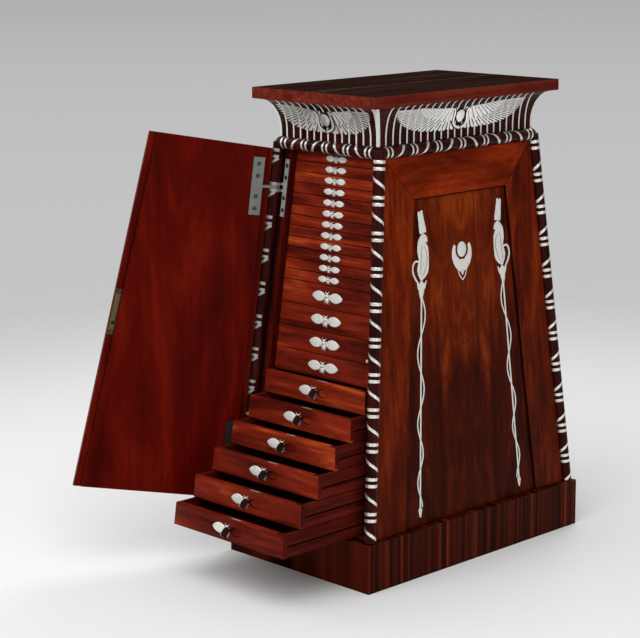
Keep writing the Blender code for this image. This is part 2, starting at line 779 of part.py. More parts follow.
def strand(foot, head, way):
    """Outline of a thin band that swings about the line from foot to head, first to one side or the other."""
    foot, head = Vector(foot), Vector(head)
    steps = STEM_WAVES * STRAND_STEPS
    line = (head - foot).normalized()
    across = Vector((line.y, -line.x))
    middles = []
    for step in range(steps + 1):
        share = step / steps
        swing = way * STEM_SWING * math.sin(share * STEM_WAVES * math.pi)
        middles.append(foot + (head - foot) * share + across * swing)
    left = [middle - across * STRAND_WIDTH / 2 for middle in middles]
    right = [middle + across * STRAND_WIDTH / 2 for middle in middles]
    return [tuple(point) for point in left + right[::-1]]


def cobra_outlines():
    """Crest, hooded body with its calyx, and the two stem strands on the right, with heights as y."""
    top = ROLL_HEIGHT - COBRA_TOP_DROP
    crest_foot = top - CREST_HEIGHT
    hood_foot = crest_foot - HOOD_HEIGHT
    calyx_foot = hood_foot - CALYX_HEIGHT
    tip = PLINTH_HEIGHT + STEM_TIP_RISE

    def spread(z):
        return COBRA_HEAD_SPREAD + (COBRA_TAIL_SPREAD - COBRA_HEAD_SPREAD) * (top - z) / (top - tip)

    x = spread(crest_foot)
    crest = [(x - CREST_FOOT_WIDTH / 2, crest_foot + BITE), (x + CREST_FOOT_WIDTH / 2, crest_foot + BITE),
             (x + CREST_TOP_WIDTH / 2, top), (x - CREST_TOP_WIDTH / 2, top)]
    hood = []
    for step in range(HOOD_SIDES):
        angle = 2 * math.pi * step / HOOD_SIDES
        shift = HOOD_WIDTH * (math.cos(angle) / 2 - HOOD_LEAN_SHARE * math.sin(angle))
        hood.append((spread(hood_foot) + shift, hood_foot + HOOD_HEIGHT / 2 * (1 + math.sin(angle))))
    x = spread(calyx_foot)
    foot, head = CALYX_WIDTH / 2 * CALYX_FOOT_SHARE, CALYX_WIDTH / 2
    rim = hood_foot - BITE
    calyx = [(x - foot, calyx_foot), (x + foot, calyx_foot), (x + head, rim), (x - head, rim)]
    strands = [strand((spread(tip), tip), (x, calyx_foot - BITE), way) for way in (1, -1)]
    return [crest, hood, calyx] + strands


def side_inlays():
    """Crowned cobras on lotus stems and the emblem between them, as tools that raise them on a side."""
    middle = (PLINTH_HEIGHT + PANEL_HEAD) / 2
    slant = math.sqrt(1 + SLOPE_X ** 2)
    disc_height = (ROLL_HEIGHT - EMBLEM_DROP - middle) * slant
    turns = [CRESCENT_TURN * (2 * step / CRESCENT_STEPS - 1) for step in range(CRESCENT_STEPS + 1)]
    crescent = [(radius_x * math.sin(a), disc_height - radius_y * math.cos(a))
                for radius_x, radius_y, way in ((CRESCENT_HALF_WIDTH, CRESCENT_HEIGHT, 1),
                                                (CRESCENT_MOUTH_RADIUS, CRESCENT_MOUTH_RADIUS, -1))
                for a in turns[::way]]
    frame = face_frame(1, PANEL_RECESS, middle)

    def raised(mesh, level=1):
        lift = INLAY_RELIEF * level - BITE
        return moved(mesh, frame @ Matrix.Translation((0, 0, lift)))

    disc = cylinder("disc", EMBLEM_DISC_RADIUS, BITE, EMBLEM_DISC_SIDES)
    disc.transform(Matrix.Translation((0, disc_height, 0)))
    layers = [[raised(sheet("crescent", crescent, BITE)), raised(disc)], []]
    for mirror in (-1, 1):
        outlines = [[(mirror * x, (z - middle) * slant) for x, z in outline] for outline in cobra_outlines()]
        layers[0] += [raised(sheet("inlay", outline, BITE)) for outline in outlines[:-1]]
        layers[1].append(raised(sheet("inlay", outlines[-1], BITE), INLAY_UPPER_SHARE))
    return [together(layer) for layer in layers]


# Drawers and their bees


def bee_size(number):
    """Tip-to-tip span, height of a wing and half width of the body of a drawer's bee."""
    small = number <= SMALL_COUNT
    span = SMALL_BEE_SPAN if small else LARGE_BEE_SPAN
    return span, SMALL_WING_HEIGHT if small else LARGE_WING_HEIGHT, span * BEE_BODY_WIDTH_SHARE / 2


def wing_root(number):
    """Distance of the moving wing's hinge wire from the bee's middle."""
    return bee_size(number)[2] + HINGE_WIRE_RADIUS + 2 * SEAT


def leaf(length, height):
    """Leaf-shaped wing along +X from the origin, flat behind and domed in front."""
    upper = []
    for step in range(WING_POINTS + 1):
        share = step / WING_POINTS
        fullness = abs(math.sin(math.pi * share ** WING_LEAN)) ** WING_FULLNESS
        upper.append((length * share, height / 2 * fullness))
    outline = upper + [(x, -y) for x, y in upper[-2:0:-1]]
    work = bmesh.new()
    flat = [work.verts.new((x, y, 0)) for x, y in outline]
    edge = [work.verts.new((x, y, WING_SHEET)) for x, y in outline]
    peak = work.verts.new((length * WING_PEAK_SHARE, 0, WING_SHEET + WING_DOME))
    work.faces.new(flat[::-1])
    for a in range(len(outline)):
        b = (a + 1) % len(outline)
        work.faces.new([flat[a], flat[b], edge[b], edge[a]])
        work.faces.new([edge[a], edge[b], peak])
    bmesh.ops.recalc_face_normals(work, faces=work.faces)
    return mesh_from("leaf", work)


def drawer_frame(number, pull):
    """Frame at the middle of a drawer's front: x to the right, y up its slope, z forward."""
    return Matrix.Translation((0, -pull, 0)) @ face_frame(0, DRAWER_FRONT_DEPTH, sum(drawer_span(number)) / 2)


def drawer_wood(number):
    """Drawer hollowed from its block, with a groove along each side and the finger recess in its front."""
    foot, head = drawer_span(number)
    low, high = runner_span(number)
    end = half_y(head) - DRAWER_BACK_INSET
    inner_front = front(DRAWER_FRONT_DEPTH + DRAWER_FRONT_BOARD)
    inside = DRAWER_REACH + DRAWER_SIDE_BOARD
    timber = leaning_block("drawer", (reach_x(DRAWER_REACH, -1), reach_x(DRAWER_REACH)),
                           (front(DRAWER_FRONT_DEPTH), end), (foot, head))
    room = leaning_block("inside", (reach_x(inside, -1), reach_x(inside)),
                         (inner_front, end - DRAWER_BACK_BOARD), (foot + DRAWER_BOTTOM_BOARD, head + OVERRUN))
    rises = (low - RUNNER_CLEARANCE, high + SEAT)
    grooves = [leaning_block("groove", band(DRAWER_REACH - BITE, DRAWER_REACH + GROOVE_DEPTH, sign),
                             (inner_front, end + OVERRUN), rises) for sign in (-1, 1)]
    span, wing_height, _ = bee_size(number)
    length = span / 2 - wing_root(number)
    oval = cylinder("recess", 1, RECESS_DEPTH + OVERRUN, RECESS_SIDES)
    half_sizes = (length * RECESS_WIDTH_SHARE / 2, wing_height * RECESS_HEIGHT_SHARE / 2, 1, 1)
    oval.transform(Matrix.Diagonal(half_sizes))
    place = Matrix.Translation((wing_root(number) + length / 2, 0, -RECESS_DEPTH))
    return carved(timber, [room, together(grooves), moved(oval, drawer_frame(number, 0) @ place)])


def fixed_bee(number):
    """Left wing, abdomen and head about the bee's middle, reaching a little into the front."""
    span, wing_height, body_half = bee_size(number)
    left = moved(leaf(span / 2 - wing_root(number), wing_height), Matrix.Scale(-1, 4, (1, 0, 0)))
    abdomen, head = wing_height * BEE_ABDOMEN_SHARE, wing_height * BEE_HEAD_SHARE
    pieces = [moved(left, Matrix.Translation((-wing_root(number), 0, -BEE_ROOT)))]
    for half_width, height, y in ((body_half, abdomen, -head / 2),
                                  (body_half * BEE_HEAD_WIDTH_SHARE, head, (abdomen + SEAT) / 2)):
        oval = oval_dome("body", half_width, height / 2, BEE_RELIEF, BEE_SIDES, DOME_RINGS)
        pieces.append(moved(oval, Matrix.Translation((0, y, -BEE_ROOT))))
    return together(pieces)


def drawer(number, pull):
    """A drawer at its pull, with the fixed half of its bee."""
    here = drawer_frame(number, pull)
    wood = moved(drawer_wood(number), Matrix.Translation((0, -pull, 0)))
    return placed(f"drawer_{number:02d}", joined(wood, [moved(fixed_bee(number), here)]), MAHOGANY, here)


def wing_pull(number, pull, open_deg):
    """The bee's right wing and the wire it turns on."""
    span, wing_height, _ = bee_size(number)
    root = wing_root(number)
    axis = drawer_frame(number, pull) @ Matrix.Translation((root, 0, WING_STANDOFF + HINGE_WIRE_RADIUS))
    axis = axis @ Matrix.Rotation(-math.radians(open_deg), 4, "Y")
    wing = moved(leaf(span / 2 - root, wing_height), Matrix.Translation((0, 0, -HINGE_WIRE_RADIUS)))
    length = wing_height * HINGE_WIRE_SHARE
    wire = moved(cylinder("wire", HINGE_WIRE_RADIUS, length, HINGE_WIRE_SIDES),
                 Matrix.Rotation(math.pi / 2, 4, "X") @ Matrix.Translation((0, 0, -length / 2)))
    item = new_object(f"wing_pull_{number:02d}", joined(wing, [wire]), SILVER)
    item.matrix_world = axis
    return item


# Door and its hinges


def hinge_frame(group):
    """Frame on the front left post's axis at a ring pair: x across the front, y inward, z up the axis."""
    return post_axis(-1, -1, ring_height(group))


def post_slice(frame, radius, low, high, sides=POST_SIDES):
    """Cylinder about a frame's z axis between two heights on it."""
    return moved(cylinder("slice", radius, high - low, sides), frame @ Matrix.Translation((0, 0, low)))


def local_box(frame, x_span, y_span, z_span):
    """Box between two values along each axis of a frame."""
    return moved(box("bar", *zip(x_span, y_span, z_span)), frame)


def case_hinge(title, group):
    """Two ring-shaped knuckles around the post's pin, their arms and the plate on the jamb."""
    frame = hinge_frame(group)
    arm = FORK_ARM_SHARE * RING_BAND / 2
    rings, arms = [], []
    for middle in (-RING_SPACING / 2, RING_SPACING / 2):
        rings.append(post_slice(frame, POST_RADIUS, middle - RING_BAND / 2, middle + RING_BAND / 2))
        arms.append(local_box(frame, (0, FORK_ARM_END), (FORK_ARM_DEPTH, WALL_DEPTH - 2 * SEAT),
                              (middle - arm, middle + arm)))
    plate = local_box(frame, (CASE_PLATE_START, CASE_PLATE_END),
                      (WALL_DEPTH - SEAT - HINGE_PLATE_SHEET, WALL_DEPTH - SEAT),
                      (-HINGE_PLATE_LENGTH / 2, HINGE_PLATE_LENGTH / 2))
    leaf_body = joined(plate, [together(arms), together(rings)])
    hole = post_slice(frame, HINGE_PIN_RADIUS + HINGE_PIN_CLEARANCE, -2 * RING_SPACING, 2 * RING_SPACING,
                      HINGE_PIN_SIDES)
    return placed(title, carved(leaf_body, [hole]), STEEL, frame)


def door_hinge(group):
    """Middle knuckle, a cranked strap round the edge of the door's leaf, and the plate on the leaf."""
    strap_depth = (DOOR_LIP_DEPTH + SEAT, DOOR_LIP_DEPTH + SEAT + STRAP_THICKNESS)
    plate_depth = (DOOR_LEAF_DEPTH + SEAT, DOOR_LEAF_DEPTH + SEAT + HINGE_PLATE_SHEET)
    half = RING_SPACING / 2 - RING_BAND / 2 - KNUCKLE_GAP
    strap = half * BRIDGE_HEIGHT_SHARE
    riser = strap * BRIDGE_HEIGHT_SHARE
    bridge = riser * BRIDGE_HEIGHT_SHARE
    frame = hinge_frame(group)
    hole = post_slice(frame, HINGE_PIN_RADIUS + HINGE_PIN_CLEARANCE, -half - OVERRUN, half + OVERRUN,
                      HINGE_PIN_SIDES)
    tongue = carved(post_slice(frame, POST_RADIUS, -half, half), [hole])
    return joined(tongue, [
        local_box(frame, (STRAP_START, RISER_END - SEAT / 2), strap_depth, (-strap, strap)),
        local_box(frame, (RISER_START, RISER_END), (strap_depth[0] + SEAT, plate_depth[1] - SEAT / 2),
                  (-riser, riser)),
        local_box(frame, (RISER_START + SEAT, DOOR_PLATE_START + OVERRUN),
                  (plate_depth[0] + SEAT / 2, plate_depth[1] + SEAT / 2), (-bridge, bridge)),
        local_box(frame, (DOOR_PLATE_START, DOOR_PLATE_END), plate_depth,
                  (-HINGE_PLATE_LENGTH / 2, HINGE_PLATE_LENGTH / 2)),
    ])


def door_body():
    """Panelled outer face with its rebated rim, grown together with the plain inner leaf, as it lies shut."""
    slab = panelled(lambda z: half_x(z) - DOOR_REACH, lambda z: half_x(z) - DOOR_STILE_REACH,
                    front(DOOR_FACE_DEPTH), DOOR_LIP_DEPTH - DOOR_FACE_DEPTH, (DOOR_FOOT, DOOR_HEAD))
    inner_leaf = leaning_block("inner_leaf", (reach_x(DOOR_LEAF_REACH, -1), reach_x(DOOR_LEAF_REACH)),
                               (front(DOOR_LIP_DEPTH - BITE), front(DOOR_LEAF_DEPTH)),
                               (DOOR_FOOT + SEAT, DOOR_HEAD - SEAT))
    return carved(joined(slab, [inner_leaf]), lock_pockets())


# Lock, catch and stud


def edge_block(title, reaches, depths, rises):
    """Block near the right post, given by reaches, depths and heights."""
    walls = (front(depths[0]), front(depths[1]))
    return leaning_block(title, (reach_x(reaches[1]), reach_x(reaches[0])), walls, rises)


def lock_rise(share):
    """Height of a place on the lock, given as a share of its face plate's height."""
    return LOCK_FOOT_RISE + share * LOCK_HEIGHT


def edge_frame(rise):
    """Frame on the lock's middle line at a height, on the plane of the post axes, with z pointing forward."""
    x = half_x(rise) - (LOCK_PLATE_START + LOCK_PLATE_END) / 2
    return Matrix.Translation((x, -half_y(rise), rise)) @ Matrix.Rotation(math.pi / 2, 4, "X")


def edge_hole(rise, radius, depths):
    """Cylinder across the door's edge at a height, between two depths."""
    hole = cylinder("hole", radius, depths[1] - depths[0], HOLE_SIDES)
    return moved(hole, edge_frame(rise) @ Matrix.Translation((0, 0, -depths[1])))


def lock_body_span(slack):
    """Reaches, depths and heights of the lock's body, grown by a slack."""
    reaches = (LOCK_PLATE_START + LOCK_BODY_MARGIN - slack, LOCK_PLATE_END - LOCK_BODY_MARGIN + slack)
    depths = (DOOR_LIP_DEPTH - LOCK_PLATE_SHEET - LOCK_BODY_DEPTH - slack,
              DOOR_LIP_DEPTH - LOCK_PLATE_SHEET / 2)
    foot, head = (lock_rise(share) for share in LOCK_BODY_SHARES)
    return reaches, depths, (foot - slack, head + slack)


def lock_pockets():
    """Bed for the lock's plate, the deeper pocket for its body, and the key's hole."""
    bed = edge_block("bed", (LOCK_PLATE_START - SEAT, LOCK_PLATE_END + SEAT),
                     (DOOR_LIP_DEPTH - LOCK_PLATE_SHEET - SEAT, DOOR_LIP_DEPTH + OVERRUN),
                     (lock_rise(0) - SEAT, lock_rise(1) + SEAT))
    return [bed, edge_block("pocket", *lock_body_span(SEAT)),
            edge_hole(lock_rise(KEY_HOLE_SHARE), KEY_HOLE_RADIUS,
                      (DOOR_FACE_DEPTH - OVERRUN, DOOR_LIP_DEPTH))]


def door_lock():
    """Face plate and hollow body in one, open at the stud's hole, the sight hole and the key's hole."""
    plate = edge_block("plate", (LOCK_PLATE_START, LOCK_PLATE_END),
                       (DOOR_LIP_DEPTH - LOCK_PLATE_SHEET, DOOR_LIP_DEPTH), (lock_rise(0), lock_rise(1)))
    lock = joined(plate, [edge_block("body", *lock_body_span(0))])
    reaches, depths, rises = lock_body_span(-LOCK_SHELL)
    cavity = edge_block("cavity", reaches, (depths[0], DOOR_LIP_DEPTH - LOCK_PLATE_SHEET), rises)
    outside = DOOR_LIP_DEPTH + OVERRUN
    holes = [edge_hole(lock_rise(STUD_SHARE), STUD_HOLE_RADIUS, (depths[0] + LOCK_SHELL, outside)),
             edge_hole(lock_rise(SIGHT_HOLE_SHARE), SIGHT_HOLE_RADIUS, (depths[0] + LOCK_SHELL, outside)),
             edge_hole(lock_rise(KEY_HOLE_SHARE), KEY_HOLE_RADIUS, (DOOR_FACE_DEPTH - OVERRUN, outside))]
    return carved(lock, [cavity] + holes)


def lock_catch():
    """Forked plate that slides down behind the face plate and over the stud's neck."""
    back_depth = DOOR_LIP_DEPTH - LOCK_PLATE_SHEET - SEAT
    middle = (LOCK_PLATE_START + LOCK_PLATE_END) / 2
    depths = (back_depth - CATCH_THICKNESS, back_depth)
    foot = lock_rise(CATCH_FOOT_SHARE)
    head = lock_rise(LOCK_BODY_SHARES[1]) - CATCH_HEAD_ROOM - LOCK_SHELL - CATCH_TRAVEL
    plate = edge_block("catch", (middle - CATCH_WIDTH / 2, middle + CATCH_WIDTH / 2), depths, (foot, head))
    notch = edge_block("notch", (middle - CATCH_NOTCH_WIDTH / 2, middle + CATCH_NOTCH_WIDTH / 2),
                       (depths[0] - OVERRUN, depths[1] + OVERRUN),
                       (foot - OVERRUN, foot + CATCH_NOTCH_HEIGHT))
    return carved(plate, [notch])


def hang_door():
    """The door's objects, modelled shut and swung open about the post's axis."""
    shut = post_axis(-1, -1, PLINTH_HEIGHT)
    pivot = bpy.data.objects.new("door_axis", None)
    PARTS.objects.link(pivot)
    pivot.matrix_world = shut @ Matrix.Rotation(-math.radians(DOOR_OPEN_DEG), 4, "Z")
    for item in (
        placed("door", door_body(), MAHOGANY, shut),
        placed("door_hinge_upper", door_hinge(HINGE_GROUPS[0]), STEEL, shut),
        placed("door_hinge_lower", door_hinge(HINGE_GROUPS[1]), STEEL, shut),
        placed("door_lock", door_lock(), BRASS, shut),
        placed("lock_catch", lock_catch(), BRASS, shut),
    ):
        item.parent = pivot
        item.matrix_parent_inverse = Matrix()
        item.matrix_basis = Matrix()


def strike_plate():
    """Plate on the right jamb with the round-headed stud that the lock grips."""
    depths = (WALL_DEPTH - SEAT - STRIKE_SHEET, WALL_DEPTH - SEAT)
    plate = edge_block("strike", (STRIKE_START, STRIKE_END), depths,
                       (lock_rise(STRIKE_SHARES[0]), lock_rise(STRIKE_SHARES[1])))
    end = -STUD_END_DEPTH
    neck = end - STUD_HEAD_LENGTH
    root = STRIKE_SHEET / 2 - WALL_DEPTH
    profile = [(0, end), (STUD_HEAD_RADIUS * STUD_TIP_SHARE, end - STUD_HEAD_LENGTH * STUD_ROUND_SHARE),
               (STUD_HEAD_RADIUS, end - STUD_HEAD_LENGTH / 2), (STUD_HEAD_RADIUS * STUD_BACK_SHARE, neck),
               (STUD_RADIUS, neck), (STUD_RADIUS, root), (0, root)]
    stud = moved(turned("stud", profile, HOLE_SIDES), edge_frame(lock_rise(STUD_SHARE)))
    return placed("strike_plate", joined(plate, [stud]), BRASS)


def smooth_round_pieces():
    """Soft shading on what is round, with its real edges kept."""
    for title in ("post_frame", "cornice", "strike_plate"):
        mesh = bpy.data.objects[title].data
        mesh.shade_smooth()
        mesh.set_sharp_from_angle(angle=SMOOTH_ANGLE)


def build():
    plinth()
    case_side("side_right", 1)
    case_side("side_left", -1)
    back_panel()
    case_frame()
    post_frame()
    cornice()
    top_board()
    case_hinge("case_hinge_upper", HINGE_GROUPS[0])
    case_hinge("case_hinge_lower", HINGE_GROUPS[1])
    strike_plate()
    hang_door()
    count = SMALL_COUNT + LARGE_COUNT
    first_open = count - len(PULLED_OUT) + 1
    for number in range(1, count + 1):
        pulled = number >= first_open
        pull = PULLED_OUT[number - first_open] if pulled else 0
        drawer(number, pull)
        wing_pull(number, pull, WING_OPEN_DEG if pulled else 0)
    smooth_round_pieces()


build()
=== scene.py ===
import math

import bmesh
import bpy
import numpy as np
from mathutils import Matrix, Vector


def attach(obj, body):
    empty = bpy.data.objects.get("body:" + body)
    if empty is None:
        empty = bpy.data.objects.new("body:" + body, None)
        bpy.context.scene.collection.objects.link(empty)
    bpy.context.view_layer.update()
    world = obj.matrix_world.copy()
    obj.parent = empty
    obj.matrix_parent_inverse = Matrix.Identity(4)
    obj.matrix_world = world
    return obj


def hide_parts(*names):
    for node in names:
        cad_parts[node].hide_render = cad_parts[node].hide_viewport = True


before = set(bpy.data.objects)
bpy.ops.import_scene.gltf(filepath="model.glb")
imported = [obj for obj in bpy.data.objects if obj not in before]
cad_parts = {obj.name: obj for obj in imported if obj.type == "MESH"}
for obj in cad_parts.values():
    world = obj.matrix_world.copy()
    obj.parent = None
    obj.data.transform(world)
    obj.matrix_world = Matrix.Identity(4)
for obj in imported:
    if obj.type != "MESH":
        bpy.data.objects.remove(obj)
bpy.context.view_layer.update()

# %% [markdown]
# # A coin cabinet shaped like a tapering pylon
# The loaded frame holds every solid of the cabinet in its place. This lesson dresses it: fine pieces
# worked out with numpy stand in for the plain solids, and every surface gets a procedural finish.

# %% [markdown]
# ## The cabinet's own measures
# The case leans in on all four sides, so that nearly every place depends on its height. Two straight
# lines say how far the corner posts' axes stand from the middle. All depths are measured straight
# back from the plane through two neighbouring axes, as a joiner would mark them off the posts.

# %% Measures
PLINTH_HEIGHT = 0.092
WALL_FOOT, WALL_HEAD = 0.0923, 0.7859
STACK_HEAD = 0.7838
ROLL_HEIGHT = 0.797
POST_RADIUS = 0.0108
HEAD_X, HEAD_Y = 0.1314, 0.2145
FOOT_X, FOOT_Y = 0.175, 0.285
SLOPE_X = (FOOT_X - HEAD_X) / (ROLL_HEIGHT - PLINTH_HEIGHT)
SLOPE_Y = (FOOT_Y - HEAD_Y) / (ROLL_HEIGHT - PLINTH_HEIGHT)
WALL_DEPTH = 0.0112
WALL_THICKNESS = 0.016
SIDES = ("front", "right", "back", "left")
CASE = "case"


def half_x(z):
    """Distance of the post axes from x = 0: the foot's, less the slope times the rise above the plinth."""
    return FOOT_X - SLOPE_X * (np.asarray(z) - PLINTH_HEIGHT)


def half_y(z):
    """Distance of the post axes from y = 0, worked out in the same way."""
    return FOOT_Y - SLOPE_Y * (np.asarray(z) - PLINTH_HEIGHT)


def quarter(side, points):
    """Turns points by a quarter turn about the upright axis for each side: (x, y) becomes (-y, x)."""
    points = np.asarray(points, float)
    for _ in range(side % 4):
        points = np.stack([-points[..., 1], points[..., 0], points[..., 2]], axis=-1)
    return points


def on_face(side, along, depth, z):
    """Point on a leaning face, counted from 0 at the front: along to the right, depth straight back."""
    reach = (half_y, half_x)[side % 2](z) - depth
    return quarter(side, np.stack(np.broadcast_arrays(along, -reach, z), axis=-1))


def unit(vectors):
    """Each vector divided by its own length."""
    vectors = np.asarray(vectors, float)
    return vectors / np.linalg.norm(vectors, axis=-1, keepdims=True)


def face_out(side):
    """Direction straight out of a leaning face."""
    return unit(quarter(side, [0, -1, (SLOPE_Y, SLOPE_X)[side % 2]]))


def circle(count):
    """Cosines and sines of equal steps round a full turn."""
    turn = np.linspace(0, 2 * math.pi, count, endpoint=False)
    return np.stack([np.cos(turn), np.sin(turn)], axis=1)


print("post axes at the foot", FOOT_X, FOOT_Y, "and at the roll", HEAD_X, HEAD_Y)

# %% [markdown]
# ## From arrays to surfaces
# A surface is a grid of points: a shape with two parameters, or a section carried along a path. The
# faces join each point with its neighbours, and a closed direction joins its last line to its first.
# A surface travels with the number of its finish, its look.

# %% Grids, planks and sweeps
def surface(points, close_rows=False, close_columns=False, look=0):
    """Vertices and quads of a grid (rows, columns, 3); quad (r, c) joins (r, c) to (r + 1, c + 1)."""
    rows, columns = points.shape[:2]
    r, c = np.meshgrid(np.arange(rows if close_rows else rows - 1),
                       np.arange(columns if close_columns else columns - 1), indexing="ij")
    r, c = r.ravel(), c.ravel()
    below, beside = (r + 1) % rows, (c + 1) % columns
    quads = [r * columns + c, r * columns + beside, below * columns + beside, below * columns + c]
    return points.reshape(-1, 3), np.stack(quads, axis=1), look


def plank(front, back, look=0):
    """Board between two four-cornered faces, its corners given in the same order round both."""
    sides = [[i, (i + 1) % 4, (i + 1) % 4 + 4, i + 4] for i in range(4)]
    return np.concatenate([front, back]), np.array([[3, 2, 1, 0], [4, 5, 6, 7]] + sides), look


def capped(rows, look=0):
    """Closed surface of rings, the first and the last of them filled up to their own middles."""
    rows = np.asarray(rows)
    first, last = (np.broadcast_to(row.mean(axis=0), row.shape)[None] for row in (rows[0], rows[-1]))
    return surface(np.concatenate([first, rows, last]), False, True, look)


def sweep(path, across, out, section, width, height, closed=False, look=0):
    """Section carried along a path: path + across * (x * width) + out * (y * height), capped unless closed."""
    path, section = np.asarray(path, float), np.asarray(section, float)
    across, out = (np.broadcast_to(v, path.shape)[:, None] for v in (across, out))
    wide, high = (np.broadcast_to(v, path.shape[:1])[:, None, None] for v in (width, height))
    rows = path[:, None] + across * section[:, :1] * wide + out * section[:, 1:] * high
    return surface(rows, True, True, look) if closed else capped(rows, look)


def trail(path, out, section, width, height, look=0):
    """Sweep along an open path whose section stands square to it, its y pointing out."""
    return sweep(path, np.cross(out, unit(np.gradient(path, axis=0))), out, section, width, height, look=look)


def turned(profile, origin, axis, first, sides, look=0):
    """Profile of (radius, height) rows turned about an axis: radius * (first cos a + second sin a) + axis * height."""
    axis, first = unit(axis), unit(first)
    spokes = circle(sides) @ [first, np.cross(axis, first)]
    profile = np.asarray(profile, float)[:, :, None]
    return surface(origin + profile[:, :1] * spokes + profile[:, 1:] * axis, False, True, look)


print("surfaces:", ", ".join(made.__name__ for made in (surface, plank, capped, sweep, trail, turned)))

# %% [markdown]
# ## From surfaces to pieces
# One helper turns a list of surfaces into a mesh and merges doubles at poles and seams before the
# normals are set outwards. Another makes it an object with its finishes, which rides on a body.

# %% Meshes and pieces
MERGE = 1e-6


def mesh_of(title, surfaces, looks):
    """One mesh from several surfaces, with doubles merged and the normals turned outwards."""
    points, faces, which = zip(*surfaces)
    starts = np.cumsum([0] + [len(part) for part in points])
    quads = np.concatenate([part + start for part, start in zip(faces, starts)])
    mesh = bpy.data.meshes.new(title)
    mesh.from_pydata(np.concatenate(points).tolist(), [], quads.tolist())
    for look in looks:
        mesh.materials.append(look)
    numbers = np.concatenate([np.broadcast_to(look, len(part)) for look, part in zip(which, faces)])
    mesh.polygons.foreach_set("material_index", numbers.astype(np.int32))
    work = bmesh.new()
    work.from_mesh(mesh)
    bmesh.ops.remove_doubles(work, verts=work.verts, dist=MERGE)
    bmesh.ops.dissolve_degenerate(work, edges=work.edges, dist=MERGE)
    bmesh.ops.recalc_face_normals(work, faces=work.faces)
    work.to_mesh(mesh)
    work.free()
    return mesh


def added(title, data):
    """A new object in the scene."""
    item = bpy.data.objects.new(title, data)
    bpy.context.scene.collection.objects.link(item)
    return item


def piece(title, surfaces, looks, body, replaces=(), angle=40, bevel=0, tone=0.0):
    """One object from several surfaces, with its finishes, riding on a body; tone makes its wood lighter."""
    mesh = mesh_of(title, surfaces, looks)
    mesh.shade_smooth()
    mesh.set_sharp_from_angle(angle=math.radians(angle))
    mesh.attributes.new("tone", "FLOAT", "POINT").data.foreach_set("value", np.full(len(mesh.vertices), tone))
    item = added(title, mesh)
    if bevel:
        soft = item.modifiers.new("soft edges", "BEVEL")
        soft.width, soft.segments, soft.limit_method, soft.harden_normals = bevel, 2, "ANGLE", True
    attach(item, body)
    if replaces:
        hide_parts(*replaces)
    print(f"{title}: {len(mesh.polygons)} faces")


# %% [markdown]
# ## Shared effects
# Timber shows long streaks along its grain, broad clouds across it and small dark pores. All of it is
# noise, stretched by scaling the coordinates: much across the grain, little along it. A node group
# holds that once, and each wood places it with its own turn and strength. A second group finds
# edges by comparing the true normal with one rounded off; the woods colour them partly as wear and
# partly as a painted highlight on the lit arris. A third finds corners that are hard to reach: the
# woods are painted darker there as shade, and the metals take their tarnish there.

# %% Node helpers and groups
def feed(tree, sockets, values):
    """Gives each named input its value: another node's output by a link, anything else as it is."""
    for name, value in dict(values).items():
        if isinstance(value, bpy.types.NodeSocket):
            tree.links.new(value, sockets[name])
        else:
            sockets[name].default_value = value


def node(tree, kind, inputs=(), **settings):
    """Outputs of a new node of one kind, its properties or sockets set by name and its inputs fed."""
    made = tree.nodes.new("ShaderNode" + kind)
    for key, value in settings.items():
        if hasattr(made, key):
            setattr(made, key, value)
        else:
            feed(tree, made.inputs, {key.replace("_", " "): value})
    feed(tree, made.inputs, inputs)
    return made.outputs


def maths(tree, operation, *values):
    """Outcome of a math node on outputs or plain numbers."""
    return node(tree, "Math", enumerate(values), operation=operation)[0]


def remap(tree, value, low, high, to_low=0.0, to_high=1.0, **settings):
    """A value whose stretch from low to high is laid over another one and held at its ends."""
    return node(tree, "MapRange", {"Value": value}, From_Min=low, From_Max=high, To_Min=to_low, To_Max=to_high,
                **settings)[0]


def noise(tree, vector, scale, detail, distortion=0.0, roughness=0.55):
    """Noise on a vector that is scaled differently along each axis."""
    scaled = node(tree, "VectorMath", {0: vector, 1: scale}, operation="MULTIPLY")[0]
    return node(tree, "TexNoise", {"Vector": scaled}, Scale=1.0, Detail=detail, Roughness=roughness,
                Distortion=distortion)["Fac"]


def group(title, inputs, outputs):
    """An empty node group, the outputs of its first node and the inputs of its last."""
    tree = bpy.data.node_groups.new(title, "ShaderNodeTree")
    for name, value in inputs.items():
        kind = "NodeSocketVector" if value is None else "NodeSocketFloat"
        made = tree.interface.new_socket(name, in_out="INPUT", socket_type=kind)
        if value is not None:
            made.default_value = value
    for name in outputs:
        tree.interface.new_socket(name, in_out="OUTPUT", socket_type="NodeSocketFloat")
    return tree, tree.nodes.new("NodeGroupInput").outputs, tree.nodes.new("NodeGroupOutput").inputs


def timber_group():
    """Streaks, clouds and pores of a wood whose grain runs along the vector's z."""
    tree, given, out = group("timber", {"Vector": None, "Flame": 0.4, "Blotch": 0.35}, ("Tone", "Pores", "Cloud"))
    streaks = noise(tree, given["Vector"], (95.0, 95.0, 3.2), 6.0, 0.4)
    cloud = noise(tree, given["Vector"], (11.0, 11.0, 2.6), 3.0, 1.2)
    flame = noise(tree, given["Vector"], (30.0, 30.0, 9.0), 4.0, 2.4)
    fine = noise(tree, given["Vector"], (900.0, 900.0, 42.0), 2.0)
    tone = node(tree, "Mix", {"Factor": given["Flame"], "A": streaks, "B": flame})["Result"]
    both = node(tree, "Mix", {"Factor": given["Blotch"], "A": tone, "B": cloud})["Result"]
    feed(tree, out, {"Tone": remap(tree, both, 0.34, 0.66), "Pores": remap(tree, fine, 0.60, 0.72), "Cloud": cloud})
    return tree


